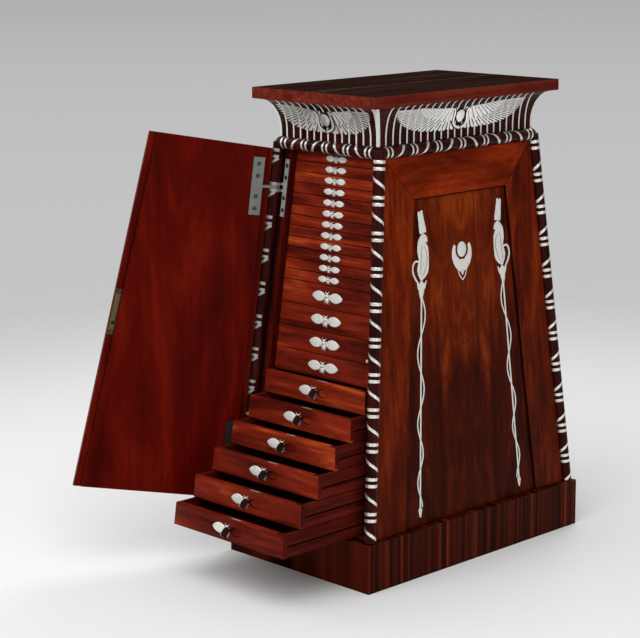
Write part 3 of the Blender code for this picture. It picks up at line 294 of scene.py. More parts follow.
def edge_wear_and_highlight_group():
    """Edges coloured partly as wear, partly as a painted highlight: one minus the true normal times a rounded one,
    broken up by noise.
    """
    tree, given, out = group("rubbed and lit edges", {"Radius": 0.0009, "Vector": None}, ("Edge",))
    soft = node(tree, "Bevel", {"Radius": given["Radius"]}, samples=4)["Normal"]
    true = node(tree, "NewGeometry")["Normal"]
    same = node(tree, "VectorMath", {0: soft, 1: true}, operation="DOT_PRODUCT")["Value"]
    broken = remap(tree, noise(tree, given["Vector"], (60.0, 60.0, 60.0), 3.0), 0.35, 0.65)
    feed(tree, out, {"Edge": maths(tree, "MULTIPLY", remap(tree, same, 0.99, 0.86), broken)})
    return tree


def hollow_group():
    """How deep in a corner a point lies: one minus the share of open directions around it."""
    tree, given, out = group("hollows", {"Distance": 0.004}, ("Hollow",))
    open_share = node(tree, "AmbientOcclusion", {"Distance": given["Distance"]}, samples=6)["AO"]
    feed(tree, out, {"Hollow": remap(tree, open_share, 0.92, 0.35)})
    return tree


TIMBER, EDGE_WEAR_AND_HIGHLIGHT, HOLLOW = timber_group(), edge_wear_and_highlight_group(), hollow_group()
print("groups", [tree.name for tree in (TIMBER, EDGE_WEAR_AND_HIGHLIGHT, HOLLOW)])

# %% [markdown]
# ## Woods
# Polished mahogany is deep red-brown, nearly orange where the light falls along the grain. A colour
# ramp over the streaks gives it, the pores darken it, and only the ebony-dark posts get a clear
# coat for their polish. The drawer fronts run crosswise, the panels upright and mirrored about
# their middle, as two leaves cut from one veneer are when they are laid open like a book. Two
# woods are painted darker towards the foot as shade, where less lamp light reaches, the top is
# painted darker on faces that look up as shade, and two show the line where their planks meet.

# %% Wood finishes
WEAR_AND_HIGHLIGHT_SHARE = 0.6
# painted shade: woods darken towards this colour in corners and gaps, and towards the foot
CORNER_SHADE_REACH, CORNER_SHADE_SHARE = 0.006, 0.85
PAINTED_SHADE_COLOUR = (0.010, 0.002, 0.001)
PORE_SHARE = 0.45
FOOT_SHADE = (0.62, 0.10)
JOINT_LINE = (0.0010, 0.0004)
POLISH_TINT = (1.0, 0.55, 0.45, 1)


def shader_of(title):
    """A new material, its tree and the inputs of its principled shader."""
    made = bpy.data.materials.new(title)
    made.use_nodes = True
    return made, made.node_tree, made.node_tree.nodes["Principled BSDF"].inputs


def place(tree, kind, **inputs):
    """Outputs of a node group set down in a material, its inputs fed."""
    made = tree.nodes.new("ShaderNodeGroup")
    made.node_tree = kind
    feed(tree, made.inputs, inputs)
    return made.outputs


def ramp(tree, value, marks):
    """Colour ramp over a value, from (position, colour) marks."""
    made = tree.nodes.new("ShaderNodeValToRGB")
    feed(tree, made.inputs, {"Fac": value})
    band = made.color_ramp
    while len(band.elements) < len(marks):
        band.elements.new(0.5)
    for element, (position, colour) in zip(band.elements, marks):
        element.position, element.color = position, (*colour, 1.0)
    return made.outputs["Color"]


def stops(places, *colours):
    """Stops of a ramp at places from 0 to 1, their colours given in thousandths."""
    return [(at, tuple(part / 1000 for part in colour)) for at, colour in zip(places, colours)]


def mixed(tree, share, first, second, blend="MIX"):
    """Two colours mixed by a share; each of the three is an output or a plain value."""
    first, second = ((*value, 1) if isinstance(value, tuple) else value for value in (first, second))
    return node(tree, "Mix", {0: share, 6: first, 7: second}, data_type="RGBA", blend_type=blend)[2]


def wood(title, marks, turn=(0, 0, 0), flame=0.4, blotch=0.35, rough=0.32, coat=0.0, shine=0.035, book=False,
         shift=(0, 0, 0), squeeze=(1, 1, 1), wear_and_highlight=(0.30, 0.06, 0.02), upper_shade=None, joint=None, foot=0.0):
    """Polished wood whose grain runs along the turned z axis of the object's coordinates."""
    made, tree, shader = shader_of(title)
    spot = node(tree, "TexCoord")["Object"]
    places = node(tree, "SeparateXYZ", {"Vector": spot})
    vector = node(tree, "Mapping", {"Vector": spot, "Location": shift, "Scale": squeeze,
                                    "Rotation": [math.radians(angle) for angle in turn]})["Vector"]
    if book:
        parts = node(tree, "SeparateXYZ", {"Vector": vector})
        leaf_side = maths(tree, "ABSOLUTE", parts["Y"])
        vector = node(tree, "CombineXYZ", {"X": parts["X"], "Y": leaf_side, "Z": parts["Z"]})["Vector"]
    grain = place(tree, TIMBER, Vector=vector, Flame=flame, Blotch=blotch)
    own = node(tree, "Attribute", attribute_name="tone")["Fac"]
    colour = ramp(tree, maths(tree, "ADD", grain["Tone"], own), marks)
    colour = mixed(tree, grain["Pores"], colour, mixed(tree, PORE_SHARE, colour, (0, 0, 0)))
    # lighter edges: partly real wear, partly a painted highlight on the lit arris
    rubbed_and_lit = place(tree, EDGE_WEAR_AND_HIGHLIGHT, Vector=vector)["Edge"]
    colour = mixed(tree, maths(tree, "MULTIPLY", rubbed_and_lit, WEAR_AND_HIGHLIGHT_SHARE), colour, wear_and_highlight)
    # painted shade in corners and gaps, where little open space lies round a point
    corner_shade = place(tree, HOLLOW, Distance=CORNER_SHADE_REACH)["Hollow"]
    colour = mixed(tree, maths(tree, "MULTIPLY", corner_shade, CORNER_SHADE_SHARE), colour, PAINTED_SHADE_COLOUR)
    # painted shade: faces that look up are multiplied by a darker colour
    if upper_shade:
        normal = node(tree, "NewGeometry")["Normal"]
        level = remap(tree, node(tree, "SeparateXYZ", {"Vector": normal})["Z"], 0.5, 0.95)
        colour = mixed(tree, level, colour, upper_shade, "MULTIPLY")
    # painted shade: darker towards the foot, where less lamp light reaches
    if foot:
        colour = mixed(tree, remap(tree, places["Z"], *FOOT_SHADE, 0.0, foot), colour, PAINTED_SHADE_COLOUR)
    if joint:
        axis, where, line_colour = joint
        line = remap(tree, maths(tree, "ABSOLUTE", maths(tree, "SUBTRACT", places[axis], where)), *JOINT_LINE)
        colour = mixed(tree, maths(tree, "MULTIPLY", line, level) if upper_shade else line, colour, line_colour)
    relief = maths(tree, "SUBTRACT", grain["Pores"], grain["Tone"])
    bump = node(tree, "Bump", {"Height": relief}, Strength=0.10, Distance=0.0003, invert=True)
    gloss = remap(tree, grain["Cloud"], 0.3, 0.7, rough - 0.04, rough + 0.08)
    feed(tree, shader, {"Base Color": colour, "Roughness": gloss, "Normal": bump["Normal"],
                        "Specular IOR Level": shine, "Specular Tint": POLISH_TINT, "Coat Weight": coat,
                        "Coat Roughness": 0.15})
    return made


print("recipe for woods ready")

# %% [markdown]
# ## The cabinet's own woods
# Each wood is the recipe with its own colours, from the darkest streak to the lightest. The drawer
# fronts and panels are the liveliest, the posts and inner faces the darkest: the inner faces, like
# the case frame, are dark as painted shade.

# %% Woods of the cabinet
EVEN = (0, 0.5, 1)
FRONT_STOPS = stops((0, 0.34, 0.66, 1), (22, 2.6, 2), (88, 7.8, 4), (215, 19, 6.6), (500, 86, 15))
LINING_STOPS = stops(EVEN, (20, 1.8, 1.4), (74, 6.6, 4.4), (135, 15, 8.5))
RECESS_STOPS = stops(EVEN, (30, 2.4, 2.2), (66, 5.4, 4.6), (115, 10.5, 7.5))
DOOR_STOPS = stops(EVEN, (36, 1, 0.5), (82, 2.4, 0.8), (160, 8, 2.2))
STILE_STOPS = stops(EVEN, (22, 1.8, 0.6), (128, 11.2, 1.4), (290, 37, 4.2))
RAIL_STOPS = stops(EVEN, (35, 2.2, 0.6), (158, 12.8, 1.4), (310, 34, 4))
PANEL_STOPS = stops((0, 0.42, 0.75, 1), (12, 1.2, 0.3), (60, 5.4, 0.8), (125, 13.5, 1.6), (230, 34, 3.6))
DARK_STOPS = stops(EVEN, (8, 1, 0.8), (24, 3, 2.3), (58, 7.8, 5))
SHADED_FRAME_STOPS = stops(EVEN, (18, 1, 0.8), (50, 3, 1.8), (95, 6.5, 3.5))
TOP_STOPS = stops(EVEN, (50, 6, 4), (125, 17, 9.8), (205, 36, 19))
STRIPE_STOPS = stops((0, 0.34, 0.68, 1), (4, 0.5, 0.3), (21, 1.8, 0.6), (66, 6.6, 1.4), (175, 25, 4))
PANEL_JOINT = ("Y", 0.0385, (0.012, 0.003, 0.001))
TOP_JOINT = ("X", 0.0, (0.34, 0.25, 0.19))
CROSSWISE, FRONT_TO_BACK = (0, 90, 0), (90, 0, 0)

fronts = wood("drawer fronts", FRONT_STOPS, CROSSWISE, flame=0.46, blotch=0.66, squeeze=(0.8, 0.8, 1.3))
recess_wood = wood("end grain", RECESS_STOPS, CROSSWISE, shift=(0.4, 0, 0))
linings = wood("drawer linings", LINING_STOPS, FRONT_TO_BACK, flame=0.2, rough=0.5)
door_wood = wood("door", DOOR_STOPS, flame=0.15, blotch=0.6)
# the door leaf's light edge colour is mostly a painted highlight on its lit arris
leaf_wood = wood("door leaf", DOOR_STOPS, flame=0.35, blotch=0.72, squeeze=(0.8, 0.8, 0.6), wear_and_highlight=(0.42, 0.05, 0.02))
stile_wood = wood("stiles", STILE_STOPS, flame=0.45, blotch=0.5, foot=0.5)
rail_wood = wood("rails", RAIL_STOPS, FRONT_TO_BACK, flame=0.45, blotch=0.5)
panel_wood = wood("panels", PANEL_STOPS, flame=0.62, blotch=0.62, book=True, shift=(0.3, 0, 0.1), joint=PANEL_JOINT,
                  foot=0.35)
dark_wood = wood("posts", DARK_STOPS, flame=0.1, rough=0.22, coat=0.030, shine=0.06)
# the top's upward faces are painted darker as shade
top_wood = wood("top", TOP_STOPS, FRONT_TO_BACK, flame=0.2, rough=0.45, shine=0.0, upper_shade=(0.17, 0.56, 0.70),
                joint=TOP_JOINT)
stripe_wood = wood("plinth veneer", STRIPE_STOPS, flame=0.0, blotch=0.25, squeeze=(0.16, 0.8, 0.10))
# the case frame's jambs are painted near black, as the deep shade in the door opening
shaded_frame_wood = wood("case frame in painted shade", SHADED_FRAME_STOPS, flame=0.2)
# the inner faces, the stiles' backs and edges and the drawers' recess walls are painted near black as shade
shaded_inner_wood = wood("inner faces in painted shade", DARK_STOPS, flame=0.2, wear_and_highlight=(0.03, 0.004, 0.002))
print("woods", len(bpy.data.materials))

# %% [markdown]
# ## Metals
# The inlays are silver, cut from sheet and engraved; polish reaches the high places and leaves a
# brown tarnish in the cuts. The hinges are steel with a dull grey surface, and the lock is old brass.
# All of them are one recipe: a plain metal, a spotty roughness and a darker colour in the hollows.

# %% Metal finishes
def metal(title, colour, tarnish, rough, patch=0.12, depth=0.002, deep=0.9, pure=1.0):
    """Metal whose colour darkens in the hollows and whose gloss changes in patches."""
    made, tree, shader = shader_of(title)
    spot = node(tree, "TexCoord")["Object"]
    patches = noise(tree, spot, (140.0, 140.0, 140.0), 4.0)
    scratches = noise(tree, spot, (1400.0, 90.0, 1400.0), 2.0)
    hollow = maths(tree, "MULTIPLY", place(tree, HOLLOW, Distance=depth)["Hollow"], deep)
    dark = maths(tree, "MAXIMUM", hollow, remap(tree, patches, 0.5, 0.8, 0.0, 0.25))
    bump = node(tree, "Bump", {"Height": scratches}, Strength=0.06, Distance=0.0001)
    gloss = remap(tree, patches, 0.3, 0.7, rough - patch / 2, rough + patch / 2)
    feed(tree, shader, {"Base Color": mixed(tree, dark, colour, tarnish), "Roughness": gloss,
                        "Normal": bump["Normal"], "Metallic": pure})
    return made


BROWN, SOOT = (0.02, 0.015, 0.012), (0.01, 0.01, 0.01)
silver = metal("silver", (0.82, 0.80, 0.75), (0.03, 0.022, 0.016), 0.32, pure=0.8)
satin = metal("satin silver", (0.78, 0.77, 0.72), (0.07, 0.055, 0.045), 0.55, depth=0.0012, pure=0.35)
# the winged discs on front and back take this grey copy of the silver: painted shade
shaded_disc_silver = metal("disc silver in painted shade", (0.56, 0.55, 0.52), BROWN, 0.42, depth=0.0012, pure=0.7)
# darker copy of the silver for the hinge post's rings: painted shade from the open door
shaded_silver = metal("shaded silver", (0.34, 0.33, 0.31), BROWN, 0.44, depth=0.0012, pure=0.7)
# the winged discs on the long sides take this near-white copy of the silver: painted light
lit_disc_silver = metal("disc silver with painted light", (0.97, 0.96, 0.93), BROWN, 0.24, depth=0.0006, deep=1.0, pure=0.35)
# pale metal for the small plates on the drawers' top edges: a painted highlight
highlight_silver = metal("painted highlights", (0.46, 0.42, 0.38), (0.05, 0.04, 0.03), 0.5, pure=0.5)
silver_back = metal("silver backs", (0.085, 0.065, 0.045), (0.03, 0.02, 0.015), 0.45, pure=0.8)
steel = metal("steel", (0.17, 0.175, 0.16), (0.04, 0.04, 0.04), 0.48, pure=0.6)
# lit and shaded copies of the hinge steel: the lighter one is painted light, the darker one painted shade
lit_steel = metal("hinge steel with painted light", (0.50, 0.51, 0.49), (0.05, 0.05, 0.05), 0.40, pure=0.6)
shaded_steel = metal("hinge steel in painted shade", (0.026, 0.028, 0.023), SOOT, 0.55, pure=0.5)
screw_steel = metal("screws", (0.075, 0.078, 0.07), SOOT, 0.45, pure=0.7)
brass = metal("brass", (0.120, 0.095, 0.042), (0.02, 0.014, 0.008), 0.42, patch=0.2)
gold = metal("gilt brass", (0.78, 0.56, 0.20), (0.20, 0.12, 0.04), 0.28)
dark_hole = metal("dark holes", (0.02, 0.018, 0.015), SOOT, 0.6)
print("woods and metals", len(bpy.data.materials))

# %% [markdown]
# ## Posts
# Four round posts carry the corners. Each is a turned surface: a profile of radius over height,
# spun about an axis that leans in both ways. The front left post narrows to thin pins at two of
# its silver ring pairs, because the door's knuckles turn there. The profile simply steps in.

# %% Posts
CORNERS = [(-1, -1), (1, -1), (1, 1), (-1, 1)]
HINGE_CORNER = (-1, -1)
HINGE_GROUPS = (2, 10)
RING_GROUPS = 11
RING_FIRST_DROP = 0.0207
RING_PITCH = 0.06355
RING_SPACING = 0.0124
RING_BAND = 0.0058
RING_EDGE = (RING_SPACING + RING_BAND) / 2
PIN_RADIUS = 0.0022
PIN_PLAY = 0.0003
POST_LIFT = 0.0016
POST_CONE = 0.004
POST_SIDES = 48


def post_axes(sign_x, sign_y):
    """Unit vectors of a post: up its axis, inward from the front or back, and across."""
    up = unit([-sign_x * SLOPE_X, -sign_y * SLOPE_Y, 1])
    inward = np.array([0, 1, SLOPE_Y * sign_y])
    inward = unit(inward - up * (inward @ up))
    return up, inward, np.cross(inward, up)


def on_axis(sign_x, sign_y, z):
    """Point of a post's axis at a height."""
    return np.array([sign_x * half_x(z), sign_y * half_y(z), z])


def ring_height(number):
    """Height on the axis of the middle of a ring pair, counted from the top."""
    return ROLL_HEIGHT - RING_FIRST_DROP - (number - 1) * RING_PITCH


def post(*corner):
    """Turned post from the plinth up into the roll moulding."""
    up, _, across = post_axes(*corner)
    head = (ROLL_HEIGHT - PLINTH_HEIGHT) / up[2]
    reach = RING_EDGE + PIN_PLAY
    profile = [(0, POST_LIFT), (POST_RADIUS, POST_LIFT)]
    for number in HINGE_GROUPS[::-1] if corner == HINGE_CORNER else ():
        middle = (ring_height(number) - PLINTH_HEIGHT) / up[2]
        profile += [(POST_RADIUS, middle - reach), (PIN_RADIUS, middle - reach),
                    (PIN_RADIUS, middle + reach), (POST_RADIUS, middle + reach)]
    profile += [(POST_RADIUS, head), (POST_RADIUS * 0.4, head + POST_CONE), (0, head + POST_CONE)]
    return turned(profile, on_axis(*corner, PLINTH_HEIGHT), up, across, POST_SIDES)


piece("posts", [post(*corner) for corner in CORNERS], [dark_wood], CASE, ["post_frame"])

# %% [markdown]
# ## Roll moulding
# A round bar runs round the head of the case. It is one closed tube: a circle carried along a
# rectangle with rounded corners. The path is worked out as four quarter circles whose ends the
# straight stretches join, so that the same array holds both.

# %% Roll moulding
ROLL_CORNER = 0.0100
ROLL_SIDES = 32
CORNER_STEPS = 9


def rounded_path(half_width, half_depth, radius, steps):
    """Path round a rectangle with quarter-circle corners, and the outward direction at each point."""
    angles = np.concatenate([np.linspace(0, math.pi / 2, steps) + start for start in math.pi / 2 * np.arange(4)])
    out = np.stack([np.cos(angles), np.sin(angles), 0 * angles], axis=1)
    signs = np.repeat([(1, 1), (-1, 1), (-1, -1), (1, -1)], steps, axis=0)
    middle = signs * [half_width - radius, half_depth - radius]
    return np.concatenate([middle, 0 * angles[:, None]], axis=1) + out * radius, out


path, outward = rounded_path(HEAD_X, HEAD_Y, ROLL_CORNER, CORNER_STEPS)
roll = sweep(path + [0, 0, ROLL_HEIGHT], outward, (0, 0, 1), circle(ROLL_SIDES), POST_RADIUS, POST_RADIUS, closed=True)
piece("roll_moulding", [roll], [dark_wood], CASE)

# %% [markdown]
# ## Silver rings and ribbons
# Every bar is banded with pairs of silver rings, and a ribbon winds once round it between two pairs.
# On the unrolled bar a ring is a line straight across and a ribbon a slanting one, so one function
# serves both: it takes the turn and the height along the bar, and carries a low arched section
# along that line. The front left post is bare where the shut door's edge covers it: its rings are
# arcs, its ribbons end early, and its silver is a darker copy, painted shade from the open door.

# %% Rings and ribbons
BAND_LIFT = 0.00035
ARCH = np.array([(-0.5, -1.0), (-0.5, 0.3), (-0.36, 0.85), (0, 1.0), (0.36, 0.85), (0.5, 0.3), (0.5, -1.0)])
RIBBON_BAND = 0.0052
RIBBON_FOOT = 0.0035
BAND_STEPS = 40
HINGE_POST_REACH = (math.radians(-145), math.radians(103))
FRONT_PAIRS = 0.0550 * np.arange(-2, 3)
SIDE_PAIRS = 0.0655 * np.arange(-3, 4)
ROLL_SPACING, ROLL_BAND = 0.0108, 0.0044


def band_on_bar(origin, axis, first, turn, rise, width, closed=False):
    """Band along a line on a round bar: radius * (first cos turn + second sin turn) + axis * rise."""
    axis, first = unit(axis), unit(first)
    turn, rise = (value[:, None] for value in np.broadcast_arrays(turn, rise))
    out = np.cos(turn) * first + np.sin(turn) * np.cross(axis, first)
    path = origin + out * POST_RADIUS + rise * axis
    if closed:
        return sweep(path, np.cross(out, np.cross(axis, out)), out, ARCH, width, BAND_LIFT, True)
    return trail(path, out, ARCH, width, BAND_LIFT)


def ring_pair(origin, axis, first, rise, spacing, width, reach=None):
    """Two rings a spacing apart about a rise along the bar, or two arcs that only reach between two turns."""
    turn = np.linspace(*(reach or (0, 2 * math.pi)), BAND_STEPS, endpoint=bool(reach))
    return [band_on_bar(origin, axis, first, turn, rise + way * spacing / 2, width, not reach) for way in (-1, 1)]


def ribbon(origin, axis, first, start, end, middle_turn, way, turns_round=1.0):
    """One slanting band from start to end along the bar, whose middle lies at a turn."""
    share = np.linspace(-0.5, 0.5, BAND_STEPS)
    return band_on_bar(origin, axis, first, middle_turn + way * 2 * math.pi * turns_round * share,
                       (start + end) / 2 + (end - start) * share, RIBBON_BAND)


def post_bands(*corner):
    """All ring pairs and ribbons of a post; on the hinge post they take the second look."""
    up = post_axes(*corner)[0]
    outer = math.atan2(*corner[::-1])
    first = np.array([math.cos(outer), math.sin(outer), 0])
    bar = on_axis(*corner, PLINTH_HEIGHT), up, unit(first - up * (first @ up))
    way = corner[0] * corner[1]
    reach = HINGE_POST_REACH if corner == HINGE_CORNER else None
    top_turn, whole = (reach[1], (reach[1] - reach[0]) / (2 * math.pi)) if reach else (way * math.pi, 1.0)
    full = RING_PITCH / up[2] - 2 * RING_EDGE
    made = []
    for number in range(1, RING_GROUPS + 1):
        rise = (ring_height(number) - PLINTH_HEIGHT) / up[2]
        made += ring_pair(*bar, rise, RING_SPACING, RING_BAND, None if number in HINGE_GROUPS else reach)
        high = rise - RING_EDGE
        low = max(high - full * whole, RIBBON_FOOT)
        part = (high - low) / full
        made.append(ribbon(*bar, low, high, top_turn - way * math.pi * part, way, part))
    return [(points, quads, look + bool(reach)) for points, quads, look in made]


def roll_bands(side):
    """Ring pairs along one side of the roll moulding, with the ribbons mirrored about its middle."""
    pairs, reach = ((FRONT_PAIRS, HEAD_Y), (SIDE_PAIRS, HEAD_X))[side % 2]
    bar = [quarter(side, vector) for vector in ([0, -reach, ROLL_HEIGHT], [1, 0, 0], unit([0, -1, 0.25]))]
    made = [ring for rise in pairs for ring in ring_pair(*bar, rise, ROLL_SPACING, ROLL_BAND)]
    edge = (ROLL_SPACING + ROLL_BAND) / 2
    for a, b in zip(pairs, pairs[1:]):
        made.append(ribbon(*bar, a + edge, b - edge, 0.0, -1 if a + b < 0 else 1))
    return made


piece("post_rings", [band for corner in CORNERS for band in post_bands(*corner)], [silver, shaded_silver], CASE)
piece("roll_rings", [band for side in range(4) for band in roll_bands(side)], [silver], CASE)

# %% [markdown]
# ## Cornice
# Above the roll a hollow moulding sweeps out to the top. Its section is an upright neck and a
# quarter of an ellipse. The section is carried round the rectangle with mitred corners, which
# only needs the four corner points of each level. Thin silver strips lie upright on it and wider
# ones cover its corners, growing towards the top.

# %% Cornice
CORNICE_FOOT = 0.8081
NECK_RISE, CURVE_RISE = 0.0116, 0.0607
CORNICE_RISE = NECK_RISE + CURVE_RISE
NECK_X, NECK_Y = 0.1280, 0.2145
TOP_WIDTH, TOP_DEPTH = 0.319, 0.514
CORNICE_LIP = 0.005
FLARE_X = TOP_WIDTH / 2 - CORNICE_LIP - NECK_X
FLARE_Y = TOP_DEPTH / 2 - CORNICE_LIP - NECK_Y
CORNICE_WALL = 0.014
CORNICE_STEPS = 24
STRIPE_FOOT = 0.0004
STRIPE_WIDTH = 0.0036
STRIPE_LIFT = 0.0003
STRIPE_ROWS = ((13, 0.0182), (22, 0.01854))
CORNER_STRIP = (0.0050, 0.0115)


def flare(rise):
    """Share of the cornice's overhang at a rise: one minus the cosine of the angle whose sine is the curve's share."""
    share = np.clip((np.asarray(rise, float) - NECK_RISE) / CURVE_RISE, 0, 1)
    return 1 - np.sqrt(1 - share ** 2)


def on_cornice(side, along, rise, lift=0.0):
    """Point along a side of the cornice at a rise above its foot, lifted straight out of the face."""
    neck, run = ((NECK_Y, FLARE_Y), (NECK_X, FLARE_X))[side % 2]
    along, rise, lift = np.broadcast_arrays(np.asarray(along, float), rise, lift)
    share = np.clip((rise - NECK_RISE) / CURVE_RISE, 0, 1)
    level = np.sqrt(1 - share ** 2)
    out = unit(np.stack([level * CURVE_RISE, -share * run], axis=-1))
    reach = neck + run * (1 - level) + lift * out[..., 0]
    return quarter(side, np.stack([along, -reach, CORNICE_FOOT + rise + lift * out[..., 1]], axis=-1))


def cornice_out(side, along, rise):
    """Direction straight out of the cornice's face."""
    return unit(on_cornice(side, along, rise, 1.0) - on_cornice(side, along, rise))


def stripe(side, along, width):
    """Upright strip on the cornice from foot to lip; its place and width may change with the rise."""
    return sweep(on_cornice(side, along, stripe_rises), quarter(side, [1, 0, 0]),
                 cornice_out(side, along, stripe_rises), ARCH, width, STRIPE_LIFT)


levels = NECK_RISE + CURVE_RISE * np.sin(np.linspace(0, math.pi / 2, CORNICE_STEPS))
rises = np.concatenate([[0.0], levels, [CORNICE_RISE, 0.0]])
overhang = np.concatenate([[0.0], flare(levels), [0.0, 0.0]])
inset = np.concatenate([np.zeros(CORNICE_STEPS + 1), [CORNICE_WALL, CORNICE_WALL]])
width, depth = NECK_X + FLARE_X * overhang - inset, NECK_Y + FLARE_Y * overhang - inset
rings = [np.stack([sx * width, sy * depth, CORNICE_FOOT + rises], axis=1) for sx, sy in CORNERS]
piece("cornice_moulding", [surface(np.stack(rings, axis=1), True, True)], [dark_wood], CASE, ["cornice"])

stripe_rises = np.concatenate([[STRIPE_FOOT], levels])
strip_width = CORNER_STRIP[0] + (CORNER_STRIP[1] - CORNER_STRIP[0]) * flare(stripe_rises)
stripes = []
for side in range(4):
    count, pitch = STRIPE_ROWS[side % 2]
    stripes += [stripe(side, along, STRIPE_WIDTH) for along in (np.arange(count) - (count - 1) / 2) * pitch]
    neck, run = ((NECK_X, FLARE_X), (NECK_Y, FLARE_Y))[side % 2]
    edge = neck + run * flare(stripe_rises) - strip_width / 2
    stripes += [stripe(side, way * edge, strip_width) for way in (-1, 1)]
piece("cornice_stripes", stripes, [satin], CASE)

# %% [markdown]
# ## Winged discs
# A silver disc with wings spreads over each side of the cornice. A wing is a fan of feathers: two
# curves give where the feathers are rooted and where they end, each feather is the strip between
# two lines from one curve to the other, arched across and rounded at its tip. A second, shorter row
# lies over the first, and two small cobras guard the disc. Wider, lower and darker copies of disc and
# cobras show round them as outlines.

# %% Winged discs
WINGS_FOOT, WINGS_HEAD = 0.016, CORNICE_RISE - 0.008
WING_SPANS = (0.1220, 0.1810)
WING_BASE = 0.0004
FEATHER_COUNTS = ((17, 9), (24, 12))
FEATHER_STEPS = 7
OUTLINE = 0.0013
LONG_ROOTS = [(0.08, 0.40), (0.30, 0.42), (0.46, 0.50), (0.56, 0.64), (0.60, 0.80), (0.62, 0.96)]
LONG_TIPS = [(0.06, 0.00), (0.35, 0.00), (0.56, 0.05), (0.74, 0.17), (0.87, 0.38), (0.97, 0.72), (1.00, 1.00)]
SHORT_ROOTS = [(0.07, 0.84), (0.30, 0.88), (0.50, 0.94), (0.58, 0.98)]
SHORT_TIPS = [(0.08, 0.35), (0.30, 0.38), (0.47, 0.47), (0.57, 0.62), (0.62, 0.80), (0.645, 0.98)]
FEATHER_ROWS = [(LONG_ROOTS, LONG_TIPS, 0.0014, 0.10, 0.70),  # roots, tips, lift, rounding, width in its pitch
                (SHORT_ROOTS, SHORT_TIPS, 0.00224, 0.12, 0.86)]
GUARD = np.array([(0.003, 0.0190), (0.012, 0.0215), (0.0195, 0.0300), (0.0175, 0.0420), (0.0165, 0.0500),
                  (0.0200, 0.0560), (0.0255, 0.0565)])
GUARD_RADIUS, GUARD_LIFT, GUARD_HEAD = 0.0030, 0.0024, (0.0034, 0.0026)
DISC_AT, DISC_HALF, DISC_LIFT = (0.0, 0.0425), np.array([0.0122, 0.0132]), 0.0046
KNOB_AT, KNOB_HALF = (0.0, 0.0190), (0.0050, 0.0036)
SMOOTHING = 9


def columnwise(change, points):
    """A change of one-dimensional arrays made on every column of points."""
    return np.stack([change(column) for column in np.asarray(points).T], axis=-1)


def along_curve(points, share):
    """Points on a smooth line through the given ones, at shares of its length."""
    steps = np.cumsum(np.concatenate([[0], np.linalg.norm(np.diff(points, axis=0), axis=1)]))
    fine = np.linspace(0, 1, 60)
    lines = columnwise(lambda column: np.interp(fine, steps / steps[-1], column), points)
    padded = np.pad(lines, ((SMOOTHING // 2, SMOOTHING // 2), (0, 0)), mode="edge")
    smooth = columnwise(lambda column: np.convolve(column, np.ones(SMOOTHING) / SMOOTHING, mode="valid"), padded)
    smooth[[0, -1]] = lines[[0, -1]]
    return columnwise(lambda column: np.interp(share, fine, column), smooth)


def feathers(side, way, count, roots, tips, lift, notch, fill):
    """A row of feathers: point = root + (tip - root) * t, arched across by the square of its side share."""
    cross = np.linspace(-1, 1, FEATHER_STEPS)
    t = np.linspace(0, 1, FEATHER_STEPS)[:, None]
    arch = lift * (1 - 0.75 * cross ** 2) * (0.55 + 0.45 * t)
    lifts = np.concatenate([arch, np.full_like(arch, -WING_BASE)], axis=1)
    made = []
    for feather in range(count):
        share = (feather + 0.5 + cross * fill / 2) / count
        start, end = along_curve(roots, share), along_curve(tips, share)
        spots = start + (end - start) * (t * (1 - notch * cross ** 2))[:, :, None]
        along, height = np.moveaxis(np.concatenate([spots, spots[:, ::-1]], axis=1), -1, 0)
        rise = WINGS_FOOT + (WINGS_HEAD - WINGS_FOOT) * height
        made.append(capped(on_cornice(side, way * WING_SPANS[side % 2] * along, rise, lifts)))
    return made


def dome_on_cornice(side, centre, half, lift, sides=28, rings=6, flat=1.0, look=0):
    """Half of an egg on the cornice: radius shrinks with the cosine of an angle while it rises with its sine."""
    cos, sin = circle(sides).T
    b = np.linspace(0, math.pi / 2, rings)[:, None]
    x = centre[0] + half[0] * cos * np.cos(b)
    rise = centre[1] + half[1] * sin * np.cos(b) * (1 - 0.12 * sin)
    rows = on_cornice(side, x, rise, lift * np.sin(b) ** flat)
    return capped(np.concatenate([on_cornice(side, x[:1], rise[:1], -WING_BASE), rows]), look)


def wire_on_cornice(side, points, radius, lift, height=None, look=0):
    """Round or flattened cord on the cornice through given points, thinning towards its end."""
    share = np.linspace(0, 1, 22)
    along, rise = along_curve(points, share).T
    thin = 1 - 0.45 * share
    return trail(on_cornice(side, along, rise, lift), cornice_out(side, along, rise), circle(10), radius * thin,
                 (height or radius) * thin, look)


def winged_disc(side):
    """Both wings, the disc with its rim and the two cobras beside it."""
    made = []
    for way in (-1, 1):
        for count, row in zip(FEATHER_COUNTS[side % 2], FEATHER_ROWS):
            made += feathers(side, way, count, *row)
        made.append(wire_on_cornice(side, GUARD * [way, 1], GUARD_RADIUS + OUTLINE, 0.0016, 0.0022, 1))
        made.append(wire_on_cornice(side, GUARD * [way, 1], GUARD_RADIUS, GUARD_LIFT))
        made.append(dome_on_cornice(side, (way * 0.0240, 0.0560), GUARD_HEAD, DISC_LIFT, 14, 4))
    made.append(dome_on_cornice(side, DISC_AT, DISC_HALF + OUTLINE, 0.0030, flat=0.25, look=1))
    made.append(dome_on_cornice(side, DISC_AT, DISC_HALF, DISC_LIFT, flat=0.6))
    made.append(dome_on_cornice(side, KNOB_AT, KNOB_HALF, 0.0026, 16, 4))
    return made


# the side discs get the near-white silver as painted light, the front and back discs the grey one as painted shade
for side, title in enumerate(SIDES):
    piece(f"winged_disc_{title}", winged_disc(side), [lit_disc_silver if side % 2 else shaded_disc_silver, dark_hole], CASE,
          angle=50)

# %% [markdown]
# ## Long sides
# Each long side is a frame with mitred corners round a veneered panel that lies a little lower. The
# boards are plain planks whose corners are placed on the leaning face. Inside, a thin runner
# strip for each drawer crosses the side. A soft bevel lets every arris catch the light.

